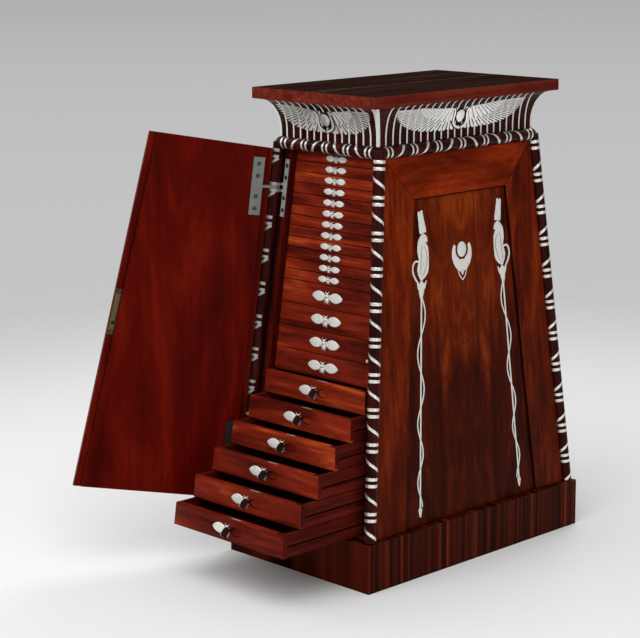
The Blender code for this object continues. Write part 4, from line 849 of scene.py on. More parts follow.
# %% Long sides
STILE_REACH = 0.0945
PANEL_RECESS = 0.0040
PANEL_GAP = 0.0022
MITRE_GAP = 0.0010
PANEL_HEAD = ROLL_HEIGHT - 0.0910
SMALL_COUNT, LARGE_COUNT = 12, 10
SMALL_PITCH, LARGE_PITCH = 0.0204, 0.0438
DRAWERS = range(1, SMALL_COUNT + LARGE_COUNT + 1)
DRAWER_GAP = 0.0014
RUNNER_HEIGHT = 0.0036
RUNNER_DEPTHS = (WALL_THICKNESS - 0.001, 0.0300)
RUNNER_START, RUNNER_END = 0.0370, WALL_DEPTH + WALL_THICKNESS + 0.0006
GROOVE_DROP_SHARE = 0.54
# a stile's outer face takes the stile wood, its back and edges the near-black inner wood as painted shade
STILE_LOOKS = [0, 3, 3, 3, 3, 3]
LONG_SIDES = (1, 3)


def drawer_span(number):
    """Bottom and top height of a drawer's front, counted from the top drawer."""
    small, large = min(number - 1, SMALL_COUNT), max(number - 1 - SMALL_COUNT, 0)
    head = STACK_HEAD - small * SMALL_PITCH - large * LARGE_PITCH
    foot = head - (SMALL_PITCH if number <= SMALL_COUNT else LARGE_PITCH)
    return foot + DRAWER_GAP / 2, head - DRAWER_GAP / 2


def runner_span(number):
    """Bottom and top height of a drawer's runners."""
    foot, head = drawer_span(number)
    middle = head - (head - foot) * GROOVE_DROP_SHARE
    return middle - RUNNER_HEIGHT / 2, middle + RUNNER_HEIGHT / 2


def face_board(side, corners, depths, look=0):
    """Board on a leaning face: four (along, height) corners, between two depths behind the post axes."""
    along, z = np.array(corners, float).T
    return plank(on_face(side, along, depths[0], z), on_face(side, along, depths[1], z), look)


def even(foot, low, top, high):
    """Corners of a board of half width foot at the height low and half width top at the height high."""
    return [(-foot, low), (foot, low), (top, high), (-top, high)]


def long_side(side):
    """Stiles, mitred top rail, lowered panel and the runners of a long side."""
    low, middle, high = WALL_FOOT, PANEL_HEAD, WALL_HEAD
    outer = [half_y(z) - WALL_DEPTH for z in (low, high)]
    inner = [half_y(z) - STILE_REACH for z in (low, middle)]
    walls = (0.0, WALL_THICKNESS)
    made = [face_board(side, [(way * outer[0], low), (way * inner[0], low), (way * inner[1], middle),
                              (way * outer[1], high)], walls, STILE_LOOKS) for way in (-1, 1)]
    made.append(face_board(side, even(inner[1] - MITRE_GAP, middle, outer[1] - MITRE_GAP, high), walls, 1))
    panel = even(inner[0] - PANEL_GAP, low, inner[1] - PANEL_GAP, middle - PANEL_GAP)
    made.append(face_board(side, panel, (PANEL_RECESS, WALL_THICKNESS), 2))
    for number in DRAWERS:
        foot, head = runner_span(number)
        start, end = half_y(head) - RUNNER_START, half_y(head) - RUNNER_END
        a, b = (-start, end) if side == 1 else (-end, start)
        made.append(face_board(side, [(a, foot), (b, foot), (b, head), (a, head)], RUNNER_DEPTHS))
    return made


for side in LONG_SIDES:
    piece(f"side_boards_{SIDES[side]}", long_side(side), [stile_wood, rail_wood, panel_wood, shaded_inner_wood], CASE,
          [f"side_{SIDES[side]}"], angle=20, bevel=0.0005)

# %% [markdown]
# ## Silver cobras
# On each panel two crowned cobras rise from lotus stems; round each straight stalk winds a second
# one. A body is a band along a path whose width changes, so one function makes crown, body, tail and
# sepals: it takes the middle line and the widths along it. Engraved lines are thin dark bands
# laid a hair over the silver. A table holds the lines, in the order of their making.

# %% Cobra inlays
INLAY_LIFT = 0.0006
FLAT = np.array([(-0.5, -1.0), (-0.5, 0.55), (-0.44, 0.9), (-0.2, 1.0), (0.2, 1.0), (0.44, 0.9), (0.5, 0.55),
                 (0.5, -1.0)])
STEM_SPREAD, TAIL_SPREAD = 0.1162, 0.1439
CALYX_FOOT, STEM_TIP = 0.5230, 0.1088
STALK_SWING, STALK_WIDTH, STALK_STEPS = 0.0108, 0.0030, 120
STALK_LIFT, STALK_WAVE = 1.25, 0.35
ARROW_HEIGHT = 0.0185
LOBE, SEPAL, ENGRAVED = [0.0064, 0.0066, 0.0060, 0.0030], [0.0075, 0.0050, 0.0018], [0.0006, 0.0012, 0.0012, 0.0006]
BELLY = np.array([(0.1068, 0.6160), (0.1050, 0.6040), (0.1050, 0.5900), (0.1085, 0.5760), (0.1130, 0.5600)])
BELLY_GAP = 0.0085 * np.sin(math.pi * np.linspace(0.12, 0.88, len(BELLY)))[:, None] * [1, 0]
COBRA = [  # middle line, widths along it, lift as a multiple, look, steps
    ([(0.1110, 0.6790), (0.1080, 0.6600), (0.1051, 0.6404)], [0.0135, 0.0140, 0.0150, 0.0170, 0.0182, 0.0170]),
    ([(0.1137, 0.6760), (0.1141, 0.6812)], LOBE, 1, 0, 12),
    ([(0.1075, 0.6770), (0.1064, 0.6826)], LOBE, 1, 0, 12),
    ([(0.1058, 0.6420), (0.1066, 0.6310)], [0.0050, 0.0044, 0.0060], 1, 0, 12),
    ([(0.1110, 0.6290), (0.1060, 0.6325), (0.1006, 0.6300), (0.0950, 0.6235)],
     [0.0060, 0.0120, 0.0135, 0.0125, 0.0090, 0.0030], 1.2),
    ([(0.1080, 0.6345), (0.1105, 0.6216), (0.1073, 0.6092), (0.1055, 0.5925), (0.1070, 0.5820), (0.1108, 0.5690),
      (0.1150, 0.5530)],
     [0.0100, 0.0190, 0.0250, 0.0300, 0.0290, 0.0276, 0.0280, 0.0306, 0.0295, 0.0200, 0.0050], 1, 0, 40),
    (BELLY - BELLY_GAP, ENGRAVED, 1.25, 1),
    (BELLY + BELLY_GAP, ENGRAVED, 1.25, 1),
    ([(0.1165, 0.5860), (0.1230, 0.5905), (0.1310, 0.5905), (0.1366, 0.5820), (0.1372, 0.5707), (0.1316, 0.5592),
      (0.1224, 0.5478), (0.1180, 0.5400)], [0.0026, 0.0038, 0.0042, 0.0042, 0.0042, 0.0040, 0.0034, 0.0028], 1, 0, 36),
    ([(0.1150, 0.5520), (0.1146, 0.5450), (0.1154, 0.5364), (0.1165, 0.5260), (STEM_SPREAD, 0.5190)],
     [0.0050, 0.0150, 0.0160, 0.0135, 0.0100, 0.0060]),
    ([(0.1090, 0.5385), (0.1050, 0.5450), (0.1012, 0.5515)], SEPAL),
    ([(0.1210, 0.5385), (0.1235, 0.5440), (0.1262, 0.5495)], SEPAL),
    ([(STEM_SPREAD, CALYX_FOOT), (TAIL_SPREAD, STEM_TIP + 0.010)], [0.0040, 0.0036]),
    ([(TAIL_SPREAD - 0.0006, STEM_TIP + ARROW_HEIGHT), (TAIL_SPREAD, STEM_TIP)],
     [0.0036, 0.0105, 0.0085, 0.0068, 0.0055, 0.0030])]
DISC_HEIGHT, DISC_OVAL = 0.5975, (0.0125, 0.0145)
CRESCENT_HEIGHT, CRESCENT_TURN = 0.5860, math.radians(128)
OUTER_X, OUTER_Z, OUTER_BULGE = 0.0278, 0.0315, 0.004
INNER_X, INNER_Z, INNER_TURN = 0.0178, 0.0185, 0.93
DISC_RINGS = ((1, -1), (1, 0.6), (0.95, 1), (0, 1.15))
CRESCENT_RINGS = ((0, -1), (0, 0.6), (0.06, 1), (0.94, 1), (1, 0.6), (1, -1))


def on_panel(side, way, line):
    """Points on a long side's panel from (spread, height) rows, mirrored by way."""
    return on_face(side, way * line[:, 0], PANEL_RECESS, line[:, 1])


def inlay(side, way, line, widths, lift=1, look=0, steps=24):
    """Band on the panel through given points, with a width at each share of its length."""
    share = np.linspace(0, 1, steps)
    width = np.interp(share, np.linspace(0, 1, len(widths)), widths)
    return trail(on_panel(side, way, along_curve(line, share)), face_out(side), FLAT, width, lift * INLAY_LIFT, look)


def stalk(side, way):
    """Stalk that winds about the straight one: the swing is a sine whose waves grow shorter downwards."""
    share = np.linspace(0, 1, STALK_STEPS)
    turn = 6 * math.pi * share * (0.91 + 0.17 * share ** 2)
    spread = STEM_SPREAD + (TAIL_SPREAD - STEM_SPREAD) * share - STALK_SWING * (1 - 0.42 * share) * np.sin(turn)
    z = CALYX_FOOT + (STEM_TIP + ARROW_HEIGHT - CALYX_FOOT) * share
    return trail(on_panel(side, way, np.stack([spread, z], axis=1)), face_out(side), FLAT, STALK_WIDTH,
                 INLAY_LIFT * (STALK_LIFT + STALK_WAVE * np.cos(turn)))


def emblem(side):
    """Disc between the horns of a broad crescent, a short beak under it and a thin hanging chevron."""
    out = face_out(side) * INLAY_LIFT
    oval = circle(40) * DISC_OVAL
    made = [capped([on_panel(side, 1, oval * share + [0, DISC_HEIGHT]) + out * lift for share, lift in DISC_RINGS])]
    turn = np.linspace(-1, 1, 48) * CRESCENT_TURN
    drop = CRESCENT_HEIGHT - OUTER_Z * np.cos(turn) + OUTER_BULGE * np.abs(np.sin(turn))
    outer = np.stack([OUTER_X * np.sin(turn), drop], axis=1)
    turn = turn * INNER_TURN
    inner = np.stack([INNER_X * np.sin(turn), DISC_HEIGHT - INNER_Z * np.cos(turn)], axis=1)
    inner[[0, -1]] = outer[[0, -1]]
    rows = [on_panel(side, 1, outer * (1 - mix) + inner * mix) + out * lift for mix, lift in CRESCENT_RINGS]
    made.append(surface(np.array(rows), True, False))
    made.append(inlay(side, 1, [(0, 0.5600), (0, 0.5490)], [0.0100, 0.0070, 0.0020]))
    for way in (-1, 1):
        made.append(inlay(side, way, [(0.0125, 0.5600), (0.0075, 0.5470), (0.0, 0.5395)], [0.0018, 0.0020, 0.0024]))
        made.append(inlay(side, way, [(0.0035, 0.5795), (0.0065, 0.5795)], [0.0026, 0.0026], 1.3, 1, 6))
    return made


for side in LONG_SIDES:
    parts = [part for way in (-1, 1) for part in [inlay(side, way, *band) for band in COBRA] + [stalk(side, way)]]
    piece(f"cobra_inlay_{SIDES[side]}", parts + emblem(side), [satin, dark_hole], CASE)

# %% [markdown]
# ## Drawers
# Twenty-two drawers lean with the case. A drawer's front is one closed surface in rings: from the
# middle of the finger recess out to its oval rim, on to the front's four edges, round a soft
# arris and back to the middle of the rear face. The recess's rim is painted darker as shade in the
# hollow, and the board's short ends show end grain. The sides carry a groove that rides on the
# runner, so they are a grooved section carried along their length. Bottom and back are planks.

# %% Drawers
DRAWER_REACH = 0.0265
FRONT_DEPTH = 0.0245
DRAWER_BACK_INSET = 0.0285
FRONT_BOARD, SIDE_BOARD, BACK_BOARD, BOTTOM_BOARD = 0.010, 0.008, 0.008, 0.004
GROOVE_DEPTH, GROOVE_PLAY = 0.0040, 0.0005
FRONT_SOFT = 0.0005
SIDE_SOFT, SIDE_DROP = 0.0006, 0.0002
RECESS_DEPTH, RECESS_SHARES = 0.0030, np.array([0.43, 0.42])
RECESS_RINGS = ((0, 1), (0.62, 0.96), (0.86, 0.72), (0.97, 0.22), (1.0, 1 / 15), (1.02, 0.0))
RECESS_SHADE_RINGS = (2, 3, 4)
TONE_SEED, TONE_SPREAD = 7, 0.09
# painted shade: pulled-out and shut drawers' woods are made darker by these amounts
OPEN_SHADE, SHUT_SHADE = -0.06, -0.03
PULLED_OUT = {17: 0.0195, 18: 0.0560, 19: 0.0940, 20: 0.1355, 21: 0.1770, 22: 0.2195}
BEE_SIZES = ((0.0570, 0.0118), (0.0810, 0.0192))
BEE_BODY_SHARE = 0.10
BEE_GAP = 0.0006
WIRE_RADIUS = 0.0010


def front_y(z):
    """Place of a shut drawer's front face at a height."""
    return FRONT_DEPTH - half_y(z)


def bee_size(number):
    """Span, wing height and distance of the moving wing's wire from the middle of a drawer's bee."""
    span, height = BEE_SIZES[number > SMALL_COUNT]
    return span, height, span * BEE_BODY_SHARE / 2 + WIRE_RADIUS + BEE_GAP


def drawer_front(number, pull):
    """Front board with its finger recess, as rings from the recess out, round the arris and to the rear middle."""
    foot, head = drawer_span(number)
    middle, half = (foot + head) / 2, (head - foot) / 2
    span, wing_height, root = bee_size(number)
    length = span / 2 - root
    centre = np.array([root + length / 2, middle])
    ways = circle(96)
    oval = ways * (RECESS_SHARES * [length, wing_height])
    square = ways / np.abs(ways).max(axis=1, keepdims=True)

    def rectangle(shrink):
        z = middle + (half - shrink) * square[:, 1]
        return np.stack([(half_x(z) - DRAWER_REACH - shrink) * square[:, 0], z], axis=1)

    rings = [(centre + oval * share, RECESS_DEPTH * deep) for share, deep in RECESS_RINGS]
    rings += [((centre + oval) * (1 - s) + rectangle(FRONT_SOFT) * s, 0.0) for s in (0.12, 0.4, 0.7, 1.0)]
    rings += [(rectangle(0.3 * FRONT_SOFT), 0.3 * FRONT_SOFT), (rectangle(0), FRONT_SOFT),
              (rectangle(0), FRONT_BOARD), (0 * oval + [0.0, middle], FRONT_BOARD)]
    rows = [on_face(0, line[:, 0], FRONT_DEPTH + deep, line[:, 1]) for line, deep in rings]
    points, quads, _ = surface(np.array(rows) - [0, pull, 0], False, True)
    ring, column = np.divmod(np.arange(len(quads)), len(ways))
    end_grain = (ring == len(rings) - 3) & (np.abs(ways[column, 0]) > np.abs(ways[column, 1]))
    # the recess's wall rings take the near-black inner wood: painted shade in the hollow
    return points, quads, np.where(end_grain, 2, np.where(np.isin(ring, RECESS_SHADE_RINGS), 3, 0))


def drawer_side(number, pull, sign):
    """Side board: a section with a groove, from behind the front to the drawer's back."""
    foot, head = drawer_span(number)
    low, high = runner_span(number) + np.array([-GROOVE_PLAY, GROOVE_PLAY])
    outer, inner, bed = DRAWER_REACH, DRAWER_REACH + SIDE_BOARD, DRAWER_REACH + GROOVE_DEPTH
    reach, z = np.array([(outer, foot), (outer, low), (bed, low), (bed, high), (outer, high),
                         (outer, head - SIDE_SOFT), (outer + SIDE_SOFT, head - SIDE_DROP),
                         (inner - SIDE_SOFT, head - SIDE_DROP), (inner, head - SIDE_SOFT), (inner, foot)]).T
    ends = front_y(z) + FRONT_BOARD, 0 * z + half_y(head) - DRAWER_BACK_INSET
    return capped([np.stack([sign * (half_x(z) - reach), y - pull, z], axis=1) for y in ends], 1)


def drawer_box(number, pull):
    """Back and bottom boards."""
    foot, head = drawer_span(number)
    end = half_y(head) - DRAWER_BACK_INSET

    def board(start, low, high):
        z = np.array([low, low, high, high])
        x = (half_x(z) - DRAWER_REACH - SIDE_BOARD) * [-1, 1, 1, -1]
        return plank(*(np.stack([x, 0 * z + y - pull, z], axis=1) for y in (start(z), end)), 1)

    return [board(lambda z: end - BACK_BOARD, foot, head - SIDE_DROP),
            board(lambda z: front_y(z) + FRONT_BOARD, foot, foot + BOTTOM_BOARD)]


# each drawer's own random tone, plus painted shade for pulled-out and shut drawers
tones_and_shade = np.random.default_rng(TONE_SEED).uniform(-TONE_SPREAD, TONE_SPREAD, len(DRAWERS))
tones_and_shade += [OPEN_SHADE if number in PULLED_OUT else SHUT_SHADE for number in DRAWERS]
for number, tone in zip(DRAWERS, tones_and_shade):
    pull = PULLED_OUT.get(number, 0.0)
    boards = [drawer_front(number, pull), drawer_side(number, pull, -1), drawer_side(number, pull, 1)]
    piece(f"drawer_boards_{number:02d}", boards + drawer_box(number, pull), [fronts, linings, recess_wood, shaded_inner_wood],
          f"drawer_{number:02d}", [f"drawer_{number:02d}"], angle=30, tone=tone)

# %% [markdown]
# ## Silver bees
# Every drawer has a silver bee. Its left wing and body sit on the front, and its right wing swings out
# on a wire as the pull. A wing is a leaf: the half height follows given shares over its length, it
# swells towards the middle, and thin furrows run out from its root as veins. The body is a
# flattened turned shape with rings, with a head, feelers and three pairs of thin legs. A small
# pale plate on the top edge of each front is a painted highlight, standing in for the bright
# reflection of the light on that edge.

# %% Bees
WING_OPEN_DEG = 70.0
WING_STANDOFF = 0.0004
WING_LENGTHS = [0, 0.06, 0.16, 0.34, 0.52, 0.68, 0.82, 0.92, 0.98, 1.0]
WING_SHARES = [0.26, 0.48, 0.74, 0.97, 1.0, 0.86, 0.60, 0.34, 0.12, 0.0]
VEINS, VEIN_WIDTH, VEIN_DEPTH = (-0.72, -0.40, 0.0, 0.40, 0.72), 0.085, 0.00050
DOME_FOOT, DOME_RISE, WING_SHEET = 0.0005, 0.0018, 0.0003
BODY_GROWTH = 1.1
BALL_LIFT = 0.0012
BALLS = [(0.09, 0.15, 1.0, 0.0036), (0.29, 0.10, 0.72, 0.0030)]  # thorax and head: middle, reach, width, relief
LIMBS = np.array([[(0.3, 0.30), (0.9, 0.38), (1.15, 0.50)], [(0.7, 0.02), (1.3, -0.14), (1.85, -0.20)],
                  [(0.7, -0.10), (1.2, -0.30), (1.60, -0.46)], [(0.4, -0.34), (0.7, -0.48), (0.95, -0.64)]])
LIMB_LIFTS = (0.0018, 0.0026, 0.0008)
LIMB_RADII = (0.0005, 0.0007)
HIGHLIGHT_START, HIGHLIGHT_END = 0.005, 0.029
HIGHLIGHT_SHARES = np.array([0.30, 0.30, 0.66, 0.66])
HIGHLIGHT_LIFTS = (-0.0004, 0.0002)


def bee_axes(number, pull):
    """Middle of a bee, and its right, up and out directions on the leaning front."""
    middle = on_face(0, 0.0, FRONT_DEPTH, sum(drawer_span(number)) / 2) - [0, pull, 0]
    up = unit([0, SLOPE_Y, 1])
    return middle, np.stack([[1.0, 0, 0], up, np.cross([1.0, 0, 0], up)])


def wing(length, height):
    """Leaf along +x: (x, half height * side share, sheet + dome - veins), with a flat back."""
    s = np.concatenate([np.linspace(0.0, 0.9, 15), [0.95, 0.98, 1.0]])[:, None]
    t = np.linspace(-1, 1, 15)[None]
    half = height / 2 * np.interp(s, WING_LENGTHS, WING_SHARES)
    veins = sum(np.exp(-((t - vein * (0.5 + 0.5 * s)) / VEIN_WIDTH) ** 2) for vein in VEINS)
    swell = np.sqrt(np.clip(1 - t ** 2, 0, 1)) * np.sin(math.pi * np.clip(s, 0.04, 1) ** 0.8) ** 0.6
    dome = DOME_FOOT + DOME_RISE * swell
    front_z = dome - VEIN_DEPTH * veins * (np.abs(t) < 0.97) * (s > 0.04)
    grid = np.stack(np.broadcast_arrays(s * length, half * t, np.maximum(front_z, WING_SHEET)), axis=-1)
    back = grid[:, ::-1] * [1, 1, 0]
    wall = np.concatenate([back[:, -1:], grid, back[:, :1]], axis=1)
    return np.concatenate([wall[:1] * [1, 1, 0], wall]), back


def spun(radius, height, half, relief, sides, lift=0.0):
    """Flattened body turned about the upright: (half * radius * cos a, height, relief * radius * sin a + lift)."""
    cos, sin = circle(sides).T
    radius, height = radius[:, None], height[:, None]
    points = np.broadcast_arrays(half * radius * cos, height, relief * radius * sin + lift)
    return capped(np.stack(points, axis=-1))


def limb(points, radius):
    """Thin tapering cord through points of the bee's own frame."""
    share = np.linspace(0, 1, 9)
    line = columnwise(lambda column: np.interp(share, np.linspace(0, 1, len(points)), column), points)
    along = unit(np.gradient(line, axis=0))
    across = unit(np.cross(along, [0, 0, 1]))
    width = radius * (1 - 0.5 * share)
    return sweep(line, across, np.cross(along, across), circle(6), width, width)


def bee_body(height, large):
    """Ringed abdomen, thorax, head, feelers and three pairs of legs, in the bee's own frame."""
    half = 0.21 * height
    s, b = np.linspace(0, 1, 36), np.linspace(-math.pi / 2, math.pi / 2, 8)
    ripple = (1 + 0.10 * np.abs(np.sin(6.5 * math.pi * s))) * (0.78 + 0.34 * s)
    made = [spun(np.sin(math.pi * s) ** 0.62 * ripple, (-0.56 + 0.54 * s) * height, half, 0.0036, 16)]
    for middle, reach, wide, relief in BALLS:
        made.append(spun(np.cos(b), (middle + reach * np.sin(b)) * height, wide * half, relief, 14, BALL_LIFT))
    for way in (-1, 1):
        made += [limb(np.column_stack([line * [way * half, height], LIMB_LIFTS]), LIMB_RADII[large]) for line in LIMBS]
    return made


def moved(change, parts):
    """Surfaces whose points are changed by a function."""
    return [(change(points), faces, look) for points, faces, look in parts]


def swung_axes(axes, degrees):
    """Right and out directions turned about the up direction, so that the right tip comes forward."""
    a = math.radians(degrees)
    right, up, out = axes
    return np.stack([right * math.cos(a) + out * math.sin(a), up, out * math.cos(a) - right * math.sin(a)])


def highlight_plate(number, pull):
    """Small pale plate on the top edge of a drawer's front, beside its middle: a painted highlight."""
    head = drawer_span(number)[1]
    x = np.array([HIGHLIGHT_START, HIGHLIGHT_END, HIGHLIGHT_END, HIGHLIGHT_START])
    y = front_y(head) + FRONT_BOARD * HIGHLIGHT_SHARES - pull
    return plank(*(np.stack([x, y, 0 * x + head + lift], axis=1) for lift in HIGHLIGHT_LIFTS), 1)


for number in DRAWERS:
    pull = PULLED_OUT.get(number, 0.0)
    span, wing_height, root = bee_size(number)
    middle, axes = bee_axes(number, pull)
    leaf = wing(span / 2 - root, wing_height)
    parts = [surface(half * [-1, 1, 1] - [root, 0, 0]) for half in leaf]
    parts += bee_body(BODY_GROWTH * wing_height, number > SMALL_COUNT)
    parts = moved(lambda points: points @ axes + middle, parts) + [highlight_plate(number, pull)]
    piece(f"bee_{number:02d}", parts, [satin, highlight_silver], f"drawer_{number:02d}", angle=60)
    hinge_point = middle + axes[0] * root + axes[2] * (WING_STANDOFF + WIRE_RADIUS)
    axes = swung_axes(axes, WING_OPEN_DEG if pull else 0.0)
    tip = wing_height / 4
    parts = [surface(half - [0, 0, WIRE_RADIUS], look=look) for look, half in enumerate(leaf)]
    parts.append(turned([(0, -tip), (WIRE_RADIUS, -tip), (WIRE_RADIUS, tip), (0, tip)], np.zeros(3), (0, 1, 0),
                        (1, 0, 0), 12))
    piece(f"bee_wing_{number:02d}", moved(lambda points: points @ axes + hinge_point, parts), [satin, silver_back],
          f"wing_{number:02d}", [f"wing_pull_{number:02d}"], angle=60)

# %% [markdown]
# ## Door leaf
# The door's inner leaf is a plain veneered board with a soft arris. It is laid over the solid one as a
# thin skin. The door is worked out as it lies shut, on the same leaning planes as the case, and
# then swung open about the axis of the front left post. One small turning function does that.

# %% Door leaf
DOOR = "door"
DOOR_OPEN = math.radians(-116.0)
LIP_DEPTH, LEAF_DEPTH = 0.0046, 0.0105
LEAF_REACH = 0.0254
LEAF_FOOT, LEAF_HEAD = 0.1033, 0.7837
SKIN = 0.00012


def swung(points):
    """Points turned about the front left post's axis by the door's opening angle (Rodrigues' formula)."""
    axis, origin = post_axes(*HINGE_CORNER)[0], on_axis(*HINGE_CORNER, PLINTH_HEIGHT)
    local = points - origin
    cos, sin = math.cos(DOOR_OPEN), math.sin(DOOR_OPEN)
    return origin + local * cos + np.cross(axis, local) * sin + np.outer(local @ axis, axis) * (1 - cos)


def leaf_board():
    """Skin over the inner leaf, a hair larger than it all round."""
    low, high = LEAF_FOOT - SKIN, LEAF_HEAD + SKIN
    foot, head = half_x(np.array([low, high])) - LEAF_REACH + SKIN
    return face_board(0, even(foot, low, head, high), (LIP_DEPTH, LEAF_DEPTH + SKIN))


piece("door_leaf", moved(swung, [leaf_board()]), [leaf_wood], DOOR, angle=20, bevel=0.0014)

# %% [markdown]
# ## Screws
# Slotted screws hold the hinge plates and the lock. A slotted head is two half discs with a gap
# between them: each is an outline drawn in to a smaller one at the top, so that its rim is soft.
# A dark ring lies round it. The screws of one kind on a body are one object.

# %% Screws
SCREW_RADIUS, RIM_RADIUS = 0.0030, 0.0040
SLOT_HALF = 0.00035
SCREW_RINGS = ((1, -0.0003), (1, 0.0003), (0.93, 0.0005))
RIM_FOOT, RIM_HEAD = -0.0002, 0.00008
SCREW_RISES = (-0.0425, -0.0195, 0.0195, 0.0425)
FIRST_TURN, NEXT_TURN = 0.6, 1.3
JAMB_PLATE = (0.0180, WALL_DEPTH - 0.0013)
DOOR_PLATE = (0.0385, LEAF_DEPTH + 0.0013)
STUD_RISE, STUD_RADIUS, STUD_DEPTH = 0.4215, 0.0037, 0.0005
LOCK_SCREWS = ((0.4800, 0.0026, 0.5), (0.4040, 0.0030, 1.1))
LOCK_REACH, LOCK_DEPTH = 0.0189, 0.0057


def screw(origin, out, first, turn, radius=SCREW_RADIUS):
    """Slotted head: two half discs beside the slot, rising from the plate with a drawn-in top."""
    out, first = unit(out), unit(first)
    first = unit(first - out * (first @ out))
    second = np.cross(out, first)
    axes = [first * math.cos(turn) + second * math.sin(turn), second * math.cos(turn) - first * math.sin(turn)]
    start = math.asin(SLOT_HALF / radius)
    a = np.linspace(start, math.pi - start, 14)
    made = []
    for way in (-1, 1):
        outline = radius * np.stack([np.cos(a), way * np.sin(a)], axis=1)
        middle = outline.mean(axis=0)
        made.append(capped([origin + (middle + (outline - middle) * shrink) @ axes + lift * out
                            for shrink, lift in SCREW_RINGS]))
    rim = [(0, RIM_FOOT), (RIM_RADIUS, RIM_FOOT), (RIM_RADIUS, RIM_HEAD), (0, RIM_HEAD)]
    return made + [turned(rim, origin, out, first, 24, 1)]


def hinge_screws(reach, depth, out_sign):
    """Four screws on each of the two plates, at a reach from the post's axis and a depth behind it."""
    up, inward, across = post_axes(*HINGE_CORNER)
    across = across * np.sign(across[0])
    made = []
    for hinge, number in enumerate(HINGE_GROUPS):
        middle = on_axis(*HINGE_CORNER, ring_height(number)) + across * reach + inward * depth
        for index, rise in enumerate(SCREW_RISES):
            made += screw(middle + up * rise, out_sign * inward, across, FIRST_TURN + NEXT_TURN * index + hinge)
    return made


def at_lock(rise, depth):
    """Point in line with the lock on the shut door, or with the stud that it grips."""
    return on_face(0, half_x(rise) - LOCK_REACH, depth, rise)


def stud_cap():
    """Gilt ball over the head of the stud beside the drawers, which the lock grips."""
    b = np.linspace(-math.pi / 2, math.pi / 2, 12)
    profile = STUD_RADIUS * np.stack([np.cos(b), 0.75 * np.sin(b)], axis=1)
    return turned(profile, at_lock(STUD_RISE, STUD_DEPTH), (0, -1, 0), (1, 0, 0), 20)


lock_screws = [part for rise, radius, turn in LOCK_SCREWS
               for part in screw(at_lock(rise, LOCK_DEPTH), (0, 1, 0), (1, 0, 0), turn, radius)]
piece("lock_screws", moved(swung, lock_screws), [screw_steel, dark_hole], DOOR)
piece("stud_cap", [stud_cap()], [gold], CASE)
piece("jamb_screws", hinge_screws(*JAMB_PLATE, -1), [screw_steel, dark_hole], CASE)
piece("door_screws", moved(swung, hinge_screws(*DOOR_PLATE, 1)), [screw_steel, dark_hole], DOOR)

# %% [markdown]
# ## Finishes of the frame's own pieces
# What is left of the frame is already fine enough: it only needs its finish. The plinth's veneer
# is cut crosswise, so that its stripes stand upright, and the top is painted darker on its upper
# face as shade.

# %% Finishes of the solids
finishes = {"plinth": stripe_wood, "back_panel": panel_wood, "case_frame": shaded_frame_wood, "top_board": top_wood,
            # the case hinges take the steel with painted light, the lower door hinge the one in painted shade
            "case_hinge_upper": lit_steel, "case_hinge_lower": lit_steel, "door_hinge_upper": steel,
            "door_hinge_lower": shaded_steel, "strike_plate": brass, "door": door_wood, "door_lock": brass,
            "lock_catch": steel}
for title, look in finishes.items():
    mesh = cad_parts[title].data
    mesh.materials.clear()
    mesh.materials.append(look)
print("finished", len(finishes), "nodes")

# %% [markdown]
# ## Stage
# A wide pale floor darkens slowly with distance, and the plain sky behind it has the same grey.
# Far from the cabinet the camera sees the floor glow in a grey gradient, painted light that stands
# in for the light falling off over a paper background; near the cabinet the lamps light it. A large
# soft lamp stands high at the front right, a weak one at the left fills the shadows, a small low one
# lights the long side, and one behind the cabinet lights its rims.

# %% Floor, sky and lamps
FLOOR_GLOW_STOPS = [(place_at, (grey, grey, grey))
               for place_at, grey in ((0.0, 0.88), (0.05, 0.78), (0.125, 0.56), (0.4, 0.52), (1.0, 0.44))]
FLOOR_RADIUS = 40
FLOOR_COLOUR = (0.85, 0.85, 0.85, 1)
GRADIENT_END = 20.0
GRADIENT_SEEN = (0.75, 2.2)
SEEN_SKY = 0.45
SKY_LIGHT = 0.37
LAMP_AIM = 0.45
LAMPS = {"key": (22, 48, 3.2, 3.9, 97), "fill": (-70, 30, 3.4, 2.4, 28), "side": (80, 6, 3.0, 1.4, 8),
         "rim": (200, 50, 3.2, 1.6, 26)}


def direction(azimuth, elevation):
    """Unit vector from the cabinet towards an azimuth, counted from the front to the right, and an elevation."""
    a, e = math.radians(azimuth), math.radians(elevation)
    return np.array([math.sin(a) * math.cos(e), -math.cos(a) * math.cos(e), math.sin(e)])


def stage_floor():
    """Disc in rings whose radius grows as a power, so that it is fine near the cabinet."""
    made, tree, shader = shader_of("floor")
    feed(tree, shader, {"Base Color": FLOOR_COLOUR, "Roughness": 0.9})
    spot = node(tree, "TexCoord")["Object"]
    distance = node(tree, "VectorMath", {0: spot}, operation="LENGTH")["Value"]
    # painted light: far from the cabinet the floor glows in this grey gradient
    glow = node(tree, "Emission", {"Color": ramp(tree, remap(tree, distance, 0.0, GRADIENT_END), FLOOR_GLOW_STOPS)})
    far = remap(tree, distance, *GRADIENT_SEEN, interpolation_type="SMOOTHSTEP")
    seen = maths(tree, "MULTIPLY", far, node(tree, "LightPath")["Is Camera Ray"])
    both = node(tree, "MixShader", {"Fac": seen, 1: tree.nodes["Principled BSDF"].outputs["BSDF"], 2: glow[0]})
    feed(tree, tree.nodes["Material Output"].inputs, {"Surface": both[0]})
    radius = FLOOR_RADIUS * np.linspace(0, 1, 16)[:, None, None] ** 3
    rings = np.pad(radius * circle(48), ((0, 0), (0, 0), (0, 1)))
    mesh = mesh_of("floor", [surface(rings, False, True)], [made])
    if mesh.polygons[0].normal.z < 0:
        mesh.flip_normals()
    floor = added("floor", mesh)


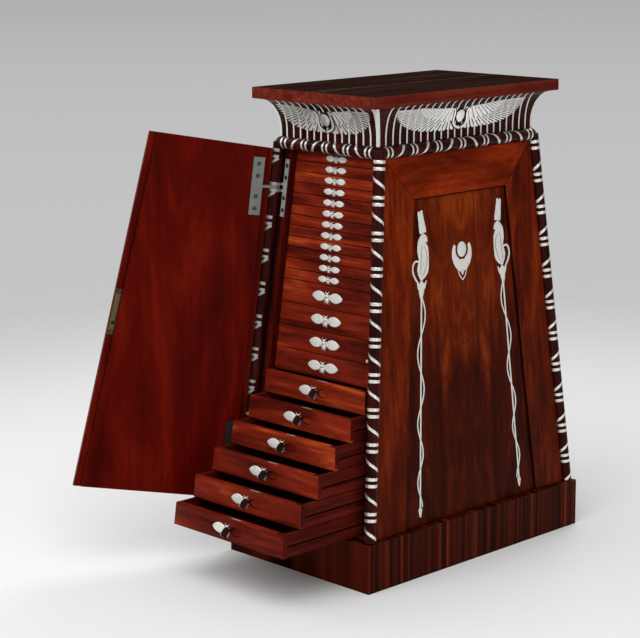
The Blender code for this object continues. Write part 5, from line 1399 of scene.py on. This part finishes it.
def sky():
    """Plain grey light from all round, a little brighter where the camera sees it."""
    world = bpy.data.worlds.new("studio")
    bpy.context.scene.world = world
    world.use_nodes = True
    tree = world.node_tree
    level = remap(tree, node(tree, "LightPath")["Is Camera Ray"], 0.0, 1.0, SKY_LIGHT, SEEN_SKY)
    feed(tree, tree.nodes["Background"].inputs, {"Color": (1, 1, 1, 1), "Strength": level})


def lamp(title, azimuth, elevation, distance, size, power):
    """Square lamp that faces the cabinet's middle from a direction."""
    light = bpy.data.lights.new(title, "AREA")
    light.size, light.energy = size, power
    back = direction(azimuth, elevation)
    item = added(title, light)
    item.location = back * distance + [0, 0, LAMP_AIM]
    item.rotation_mode = "QUATERNION"
    item.rotation_quaternion = Vector(back).to_track_quat("Z", "Y")


stage_floor()
sky()
for title, settings in LAMPS.items():
    lamp(title, *settings)
print("lamps", list(LAMPS))

# %% [markdown]
# ## Camera
# The camera stands a little above the cabinet's middle and to its front right. Its place, tilt and
# focal length were fitted to the edges of plinth and top, so the picture needs no shift.

# %% Camera
AZIMUTH, ELEVATION, ROLL = 45.5985, 11.866, -0.3397
DISTANCE, AIM_HEIGHT, SIDE_STEP = 3.8718, 0.4435, -0.17
FOCAL_PIXELS, IMAGE_WIDTH, SENSOR = 1985.0, 640, 36.0


def camera():
    """Camera whose axes come from its azimuth, elevation and roll."""
    back = direction(AZIMUTH, ELEVATION)
    right = unit(np.cross(-back, [0, 0, 1]))
    up = np.cross(back, right)
    spot = back * DISTANCE + right * SIDE_STEP + [0, 0, AIM_HEIGHT]
    cos, sin = math.cos(math.radians(ROLL)), math.sin(math.radians(ROLL))
    axes = np.stack([right * cos + up * sin, up * cos - right * sin, back], axis=1)
    data = bpy.data.cameras.new("camera")
    data.sensor_width, data.lens, data.clip_end = SENSOR, FOCAL_PIXELS / IMAGE_WIDTH * SENSOR, 100
    item = added("camera", data)
    item.matrix_world = Matrix.Translation(spot) @ Matrix(axes.tolist()).to_4x4()
    bpy.context.scene.camera = item
    bpy.context.scene.view_settings.view_transform = "Standard"
    print("camera at", np.round(spot, 3), "lens", round(data.lens, 2))


camera()
